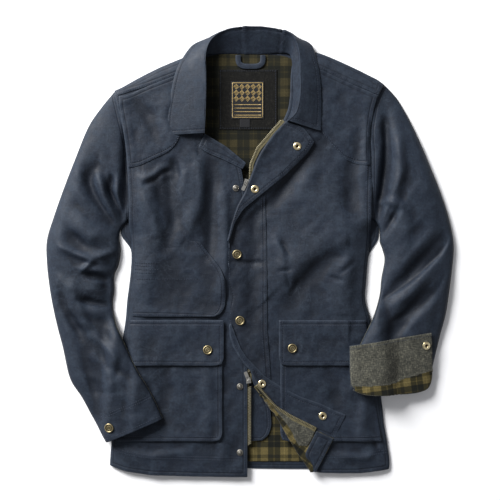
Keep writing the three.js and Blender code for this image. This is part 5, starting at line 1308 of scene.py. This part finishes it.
def stitchShape():  # a short thread, thick in the middle, its ends drawn into the cloth
    a, b, c = stitch["length"] / 2, stitch["width"] / 2, stitch["high"]
    template = [(-a, 0, -0.35)]
    for s in (-0.55, 0.55):
        template += [(s * a, -b, 0.05), (s * a, 0, c), (s * a, b, 0.05), (s * a, 0, -0.3)]
    template.append((a, 0, -0.35))
    faces = []
    for k in range(4):
        n = (k + 1) % 4
        faces += [(0, 1 + n, 1 + k, 1 + k), (1 + k, 1 + n, 5 + n, 5 + k), (9, 5 + k, 5 + n, 5 + n)]
    return np.array(template), np.array(faces)


def edgeLine(name, side, inset, start=0.0, end=1.0):
    # the line on a finished piece at this distance from one of its sides, from start to end of it
    piece = made[name + "_cloth"]
    grid, normal, distance = piece["grid"], piece["normal"], piece["distance"][side]
    if side in "BT":
        grid, normal, distance = grid.transpose(1, 0, 2), normal.transpose(1, 0, 2), distance.T
    flip = -1 if side in "RT" else 1
    grid, normal, distance = grid[:, ::flip], normal[:, ::flip], distance[:, ::flip]
    points, normals = [], []
    for row in range(int(start * (len(grid) - 1)), int(end * (len(grid) - 1)) + 1):
        if distance[row, -1] < inset:
            continue
        at = np.interp(inset, distance[row], np.arange(distance.shape[1]))
        i = int(min(at, distance.shape[1] - 2))
        f = at - i
        points.append(grid[row, i] * (1 - f) + grid[row, i + 1] * f)
        normals.append(normal[row, i] * (1 - f) + normal[row, i + 1] * f)
    return np.array(points), np.array(normals)


def frontLine(points, lift, rounding=6):  # a line laid on the fronts, and the fronts' normals along it
    steps = np.abs(np.diff(np.asarray(points, float), axis=0)).sum()
    line = softLine(points, max(8, int(steps / 4)), rounding)
    placed = onFront(line, lift)
    x, y = line[:, 0], line[:, 1]
    slopeX = (frontHeight(x + 2, y) - frontHeight(x - 2, y)) / 4
    slopeY = (frontHeight(x, y + 2) - frontHeight(x, y - 2)) / 4
    return placed, unit(np.stack([-slopeX, -slopeY, np.ones_like(x)], axis=1))


seams = [  # piece, side, how far in each row of stitches lies
    ("yoke_right", "B", 2.2, 8.0), ("yoke_left", "B", 2.2, 8.0), ("shoulder_right", "B", 2.2),
    ("shoulder_left", "B", 2.2), ("handwarmer", "R", 2.4, 8.5), ("handwarmer", "B", 2.4),
    ("neckband", "B", 3.0),
    ("neckband", "L", 2.4), ("pocket_right", "R", 2.4), ("pocket_right", "B", 2.4, 8.5),
    ("pocket_right", "R", 8.5), ("pocket_left", "L", 2.4, 8.5), ("pocket_left", "B", 2.4, 8.5),
    ("pocket_flap_right", "B", 6.5), ("pocket_flap_right", "R", 6.5), ("pocket_flap_right", "T", 2.4, 9.5),
    ("pocket_flap_left", "B", 6.5), ("pocket_flap_left", "L", 6.5), ("pocket_flap_left", "T", 2.4, 9.5),
    ("storm_flap", "L", 6.5), ("storm_flap", "R", 2.4, 9.5), ("storm_flap_head", "R", 6.5),
    ("storm_flap_head", "T", 6.5), ("storm_flap_foot", "T", 6.5), ("storm_flap_foot", "R", 6.5),
    ("collar_fall", "L", 6.5), ("collar_fall", "B", 6.5), ("collar_fall", "T", 6.5), ("corner", "T", 4.0),
    ("corner_hem_facing", "R", 3.0), ("zip_guard", "R", 4.0), ("cuff_left_top", "T", 5.0),
    ("neck_patch", "L", 2.5), ("neck_patch", "R", 2.5), ("neck_patch", "B", 2.5), ("neck_patch", "T", 2.5),
    ("front_right", "R", 3.5), ("sleeve_right_top", "B", 6.0, 44.0, 48.5), ("hanger_loop", "L", 1.6),
    ("hanger_loop", "R", 1.6),
]
sewn = [edgeLine(name, side, inset) for name, side, *insets in seams for inset in insets]
for name, side, insets, start, end in (
        ("front_right", "B", (31.0, 36.0), 0.0, 0.97), ("front_left", "B", (31.0, 36.0), 0.05, 1.0),
        ("front_right", "L", (3.0, 9.5), 0.66, 0.99), ("front_left", "R", (3.0, 9.5), 0.66, 0.99)):
    sewn += [edgeLine(name, side, inset, start, end) for inset in insets]
barRows = [(-214, -170, -24), (-214, -172, -29), (-214, -166, -36), (-214, -172, -42), (-210, -60, -54)]
sewn += [frontLine([(a, y + 1), ((a + b) / 2, y), (b, y)], layer1 - 0.1) for a, b, y in barRows]
stitchRows = [rowFrames(*line, stitch["pitch"]) for line in sewn if len(line[0]) > 2]
stitchPoints, stitchFaces = repeated(*stitchShape(), stitchRows)
threeOrFour = [face if face[2] != face[3] else face[:3] for face in stitchFaces.tolist()]
stitching = meshPiece("topstitching", stitchPoints, threeOrFour, [navyThread])
finishPiece(stitching)
print(f"topstitching: {len(stitchFaces) // 12} stitches")

# Zip

zipParts = {"pitch": 2.9, "tooth": (1.5, 3.4, 1.7)}  # a coarse brass zip, mm


def toothShape(out):  # a tooth with a wide foot in the tape and a narrower, rounded head
    a, b, c = (s / 2 for s in zipParts["tooth"])
    template = []
    for y, along, high in ((-b, 0.75, 0.8), (-b * 0.2, 1.0, 1.0), (b * 0.75, 0.85, 0.9), (b, 0.5, 0.5)):
        corners = ((-1, -1), (1, -1), (1, 1), (-1, 1))
        template += [(p * a * along, out * y, q * c * high) for p, q in corners]
    faces = [(0, 1, 2, 3), (15, 14, 13, 12)]
    for ring in range(3):
        for k in range(4):
            n = (k + 1) % 4
            faces.append((4 * ring + k, 4 * ring + 4 + k, 4 * ring + 4 + n, 4 * ring + n))
    faces = np.array(faces)
    return np.array(template), faces if out > 0 else faces[:, ::-1]


def zipTape(name, line, width, lift, node=None):
    # a woven strip carried along a line on the fronts
    path = softLine(line, max(12, int(lineLength(line) / 3)), 8)
    tangent = unit(np.gradient(path, axis=0))
    side = np.stack([tangent[:, 1], -tangent[:, 0]], axis=1)
    offset = np.linspace(-width / 2, width / 2, 7)
    flat = path[:, None] + side[:, None] * offset[None, :, None]
    run = runAlong(path)[:, None]
    flatMap = np.stack(np.broadcast_arrays(offset[None] + 0 * run, run + 0 * offset[None]), axis=-1)
    piece = clothShell(f"zip_tape_{name}_cloth", onFront(flat, lift), 0.8, tape, flatMap=flatMap)
    finishPiece(piece, [node] if node else [])


neckZip = [(2, 124), (2.5, 158), (16, 186), (42, 215), (62, 238)]
cornerZip = [(11, -250), (30, -272.5), (46, -290.5), (74, -307.5), (96, -318.5), (121, -331)]
zipTape("right", [(-9, -362), (-9, 60), (-11, 118)], 13, -2.6,
        "zip_tape_right")
zipTape("left", [(6.5, -244), (6.5, 60), (5.5, 120)], 13, -2.6,
        "zip_tape_left")
zipTape("neck", neckZip, 7, 0.55, "zip_tape_neck")
zipTape("corner", cornerZip, 8, layer3 + 1.1)


def teethPiece(name, nodes, rows):  # each row: its line, its height, the side it points to and its shift
    points, faces, start = [], [], 0
    for line, lift, out, shift in rows:
        placed, normals = frontLine(line, lift, 4)
        frames = rowFrames(placed, normals, zipParts["pitch"], shift)
        spots, spotFaces = repeated(*toothShape(out), [frames])
        points.append(spots)
        faces.append(spotFaces + start)
        start += len(spots)
    points = np.concatenate(points)
    piece = meshPiece(name, points, np.concatenate(faces), [toothMetal],
                      values={"hollow": np.zeros(len(points))}, shade=False)
    finishPiece(piece, nodes)


teethPiece("zip_teeth_closed", ["zip_chain"], [
    ([(-2.3, -226), (-2.3, 60), (-5.2, 116)], -0.9, -1, 0.0),
    ([(0.3, -226), (0.3, 60), (-2.6, 116)], -0.9, 1, 0.5)])
teethPiece("zip_teeth_open", ["zip_chain_open"], [
    ([(-2.3, -360), (-2.3, -250)], -0.7, -1, 0.0), ([(0.3, -360), (0.3, -250)], -0.7, 1, 0.5)])
neckTeeth = [(-0.5, 130), (0.5, 158), (13, 188), (39, 218), (58, 240)]
teethPiece("zip_teeth_neck", [], [(neckTeeth, 1.3, -1, 0.0)])
cornerTeeth = [(12, -248), (31, -270), (47, -288), (75, -305), (97, -316), (118, -327)]
teethPiece("zip_teeth_corner", [], [(cornerTeeth, layer3 + 1.6, 1, 0.0)])

# the sliders and pulls keep their solids
for node in ("upper_slider", "upper_pull", "lower_slider", "lower_pull"):
    for part in bpy.data.objects[node].material_slots:
        part.material = silver
print("zip made")

# Snaps

profiles = {  # radius, height and how dark: patina in the hollows, and painted shade for the hole in a socket's middle; from the rim's foot to the middle
    "cap": [
        (8.2, 0, 1), (8.7, 0.5, 0.6), (8.6, 1.5, 0.1), (8.0, 2.3, 0), (7.2, 2.6, 0), (6.5, 2.3, 0.2),
        (6.0, 1.8, 0.9),
        (5.2, 1.6, 0.8), (4.2, 1.75, 0.1), (3.0, 2.1, 0), (2.5, 2.0, 0.5), (2.1, 1.7, 0.9), (1.2, 1.9, 0.2),
        (0, 2.05, 0)],
    # its middle is painted dark: painted shade for the hole
    "socket": [
        (7.3, 0, 1), (7.5, 0.4, 0.4), (7.2, 0.9, 0), (6.2, 1.4, 0), (4.8, 1.55, 0), (3.4, 1.35, 0),
        (2.7, 0.9, 0.3), (2.4, 0.3, 1), (1.4, 0.25, 1), (0, 0.25, 1)],
    "stud": [
        (5.8, 0, 1), (6.0, 0.4, 0.3), (5.6, 0.8, 0), (4.2, 1.0, 0.1), (3.2, 1.0, 0.8), (2.7, 1.5, 0.3),
        (2.6, 2.7, 0), (2.95, 3.3, 0), (2.4, 3.8, 0), (1.2, 3.95, 0), (0, 3.95, 0)],
}
snapFinish = {"cap": brass, "socket": brightBrass, "stud": dullSteel}


def snapPiece(name, kind, host, x, y, lift=0.15):
    # the profile turned round the cloth's normal where the snap is set
    profile = np.array(profiles[kind])
    steps = 40
    angle = np.linspace(0, 2 * np.pi, steps, endpoint=False)
    grid, normal = made[host + "_cloth"]["grid"], made[host + "_cloth"]["normal"]
    radius = profile[:, 0].max()
    away = np.hypot(grid[..., 0] - x, grid[..., 1] - y)
    under = away < radius
    if not under.any():
        under = away <= away.min() + 1e-6
    up = unit(normal[under].mean(axis=0))
    flatPoint = grid[under].mean(axis=0)
    high = ((grid[under] - flatPoint) @ up).max() * 0.6
    fall = (up[0] * (x - flatPoint[0]) + up[1] * (y - flatPoint[1])) / up[2]
    centre = np.array([x, y, flatPoint[2] - fall]) + up * (high + lift)
    sideA = unit(np.cross([0.0, 1.0, 0.0], up))
    sideB = np.cross(up, sideA)
    ring = np.cos(angle)[:, None] * sideA + np.sin(angle)[:, None] * sideB
    points = centre + profile[:-1, 0][:, None, None] * ring[None] + profile[:-1, 1][:, None, None] * up
    points = np.concatenate([points.reshape(-1, 3), [centre + up * profile[-1, 1]], [centre]])
    hollow = np.concatenate([np.repeat(profile[:-1, 2], steps), [profile[-1, 2], 1]])
    faces, rings = [], len(profile) - 1
    k = np.arange(steps)
    n = (k + 1) % steps
    for r in range(rings - 1):
        low, high = r * steps, (r + 1) * steps
        faces += np.stack([low + k, low + n, high + n, high + k], axis=1).tolist()
    faces += [[(rings - 1) * steps + a, (rings - 1) * steps + b, rings * steps] for a, b in zip(k, n)]
    faces += [[int(b), int(a), rings * steps + 1] for a, b in zip(k, n)]
    piece = meshPiece(name + "_metal", points, faces, [snapFinish[kind]], values={"hollow": hollow})
    finishPiece(piece, [name])


snaps = [  # node, kind, the cloth it is set in, x, y
    ("flap_cap_upper", "cap", "storm_flap", -24, -8), ("flap_cap_lower", "cap", "storm_flap", -18.5, -130),
    ("pocket_cap_right", "cap", "pocket_flap_right", -78, -184),
    ("pocket_cap_left", "cap", "pocket_flap_left", 78, -181),
    ("flap_socket_head", "socket", "storm_flap_head", 87, 191),
    ("flap_socket_neck", "socket", "storm_flap_head", 9, 112),
    ("flap_socket_foot", "socket", "storm_flap_foot", 22, -246),
    ("flap_socket_corner", "socket", "storm_flap_foot", 134, -306),
    ("front_stud_lower", "stud", "front_right", -18.5, -252),
    ("front_stud_hem", "stud", "front_right", -18.5, -374),
    ("front_stud_neck", "stud", "front_right", -26, 114),
    ("cuff_cap_right", "cap", "sleeve_right_top", -258, -326),
    ("cuff_socket_left", "socket", "cuff_left_top", 324, -176),
]
for snap in snaps:
    snapPiece(*snap)
print("snaps set")

# Floor, light and camera

studio = {
    "floor": "#f4f4f5", "size": 4000,  # the sheet of paper reaches this far to each side, mm
    "sky": "#fbfcff", "world": 0.25, "key": 425.0, "fill": 10.0,
    "frameWidth": 0.925,  # the picture shows this much, m, at this height above the floor
    "frameHeight": 0.006, "lens": 85.0, "sensor": 36,
}
corners = ((-1, -1), (1, -1), (1, 1), (-1, 1))
floorPoints = np.array([(a * studio["size"], b * studio["size"], -0.2) for a, b in corners])
# Matt paper, a little uneven in its whiteness
paperSettings = {"Roughness": 0.9, "Specular IOR Level": 0.1}
paper, paperTree, paperSurface = newMaterial("matt paper sweep", paperSettings)
paperPlace = addNode(paperTree, "TexCoord", out="Object")
paperBase = plainColour(paperTree, studio["floor"])
paperTint = cloudLayers(paperTree, paperPlace, paperBase, [(400, 0.3, 0.7, 0.5, "#f6f6f8")])
paperTree.links.new(paperTint, paperSurface["Base Color"])
floor = meshPiece("floor", floorPoints, [[0, 1, 2, 3]], [paper])

scene = bpy.context.scene
world = bpy.data.worlds.new("studio")
world.use_nodes = True
sky = world.node_tree.nodes["Background"].inputs
sky[0].default_value = linear(studio["sky"])
sky[1].default_value = studio["world"]
scene.world = world
scene.view_settings.view_transform = "Standard"


def addLight(name, place, size, power, colour):  # aimed at the middle of the jacket; place and size in m
    light = bpy.data.lights.new(name, "AREA")
    light.shape = "RECTANGLE"
    light.size, light.size_y = size
    light.energy = power
    light.color = linear(colour)[:3]
    lamp = bpy.data.objects.new(name, light)
    lamp.location = place
    away = np.array(place) / np.linalg.norm(place)
    lamp.rotation_euler = (math.acos(away[2]), 0, math.atan2(away[1], away[0]) + math.pi / 2)
    scene.collection.objects.link(lamp)


addLight("key light", (-2.4, 2.5, 2.0), (1.9, 1.9), studio["key"], "#ffffff")
addLight("fill light", (2.6, -1.4, 2.8), (2.4, 2.4), studio["fill"], "#f4f7ff")

camera = bpy.data.objects.new("camera", bpy.data.cameras.new("camera"))
camera.data.lens = studio["lens"]
camera.data.sensor_width = studio["sensor"]
camera.location = (0, 0, studio["frameWidth"] * studio["lens"] / studio["sensor"] + studio["frameHeight"])
camera.rotation_euler = (0, 0, 0)
camera.data.clip_start = 0.05
scene.collection.objects.link(camera)
scene.camera = camera
print("camera, light and floor set")
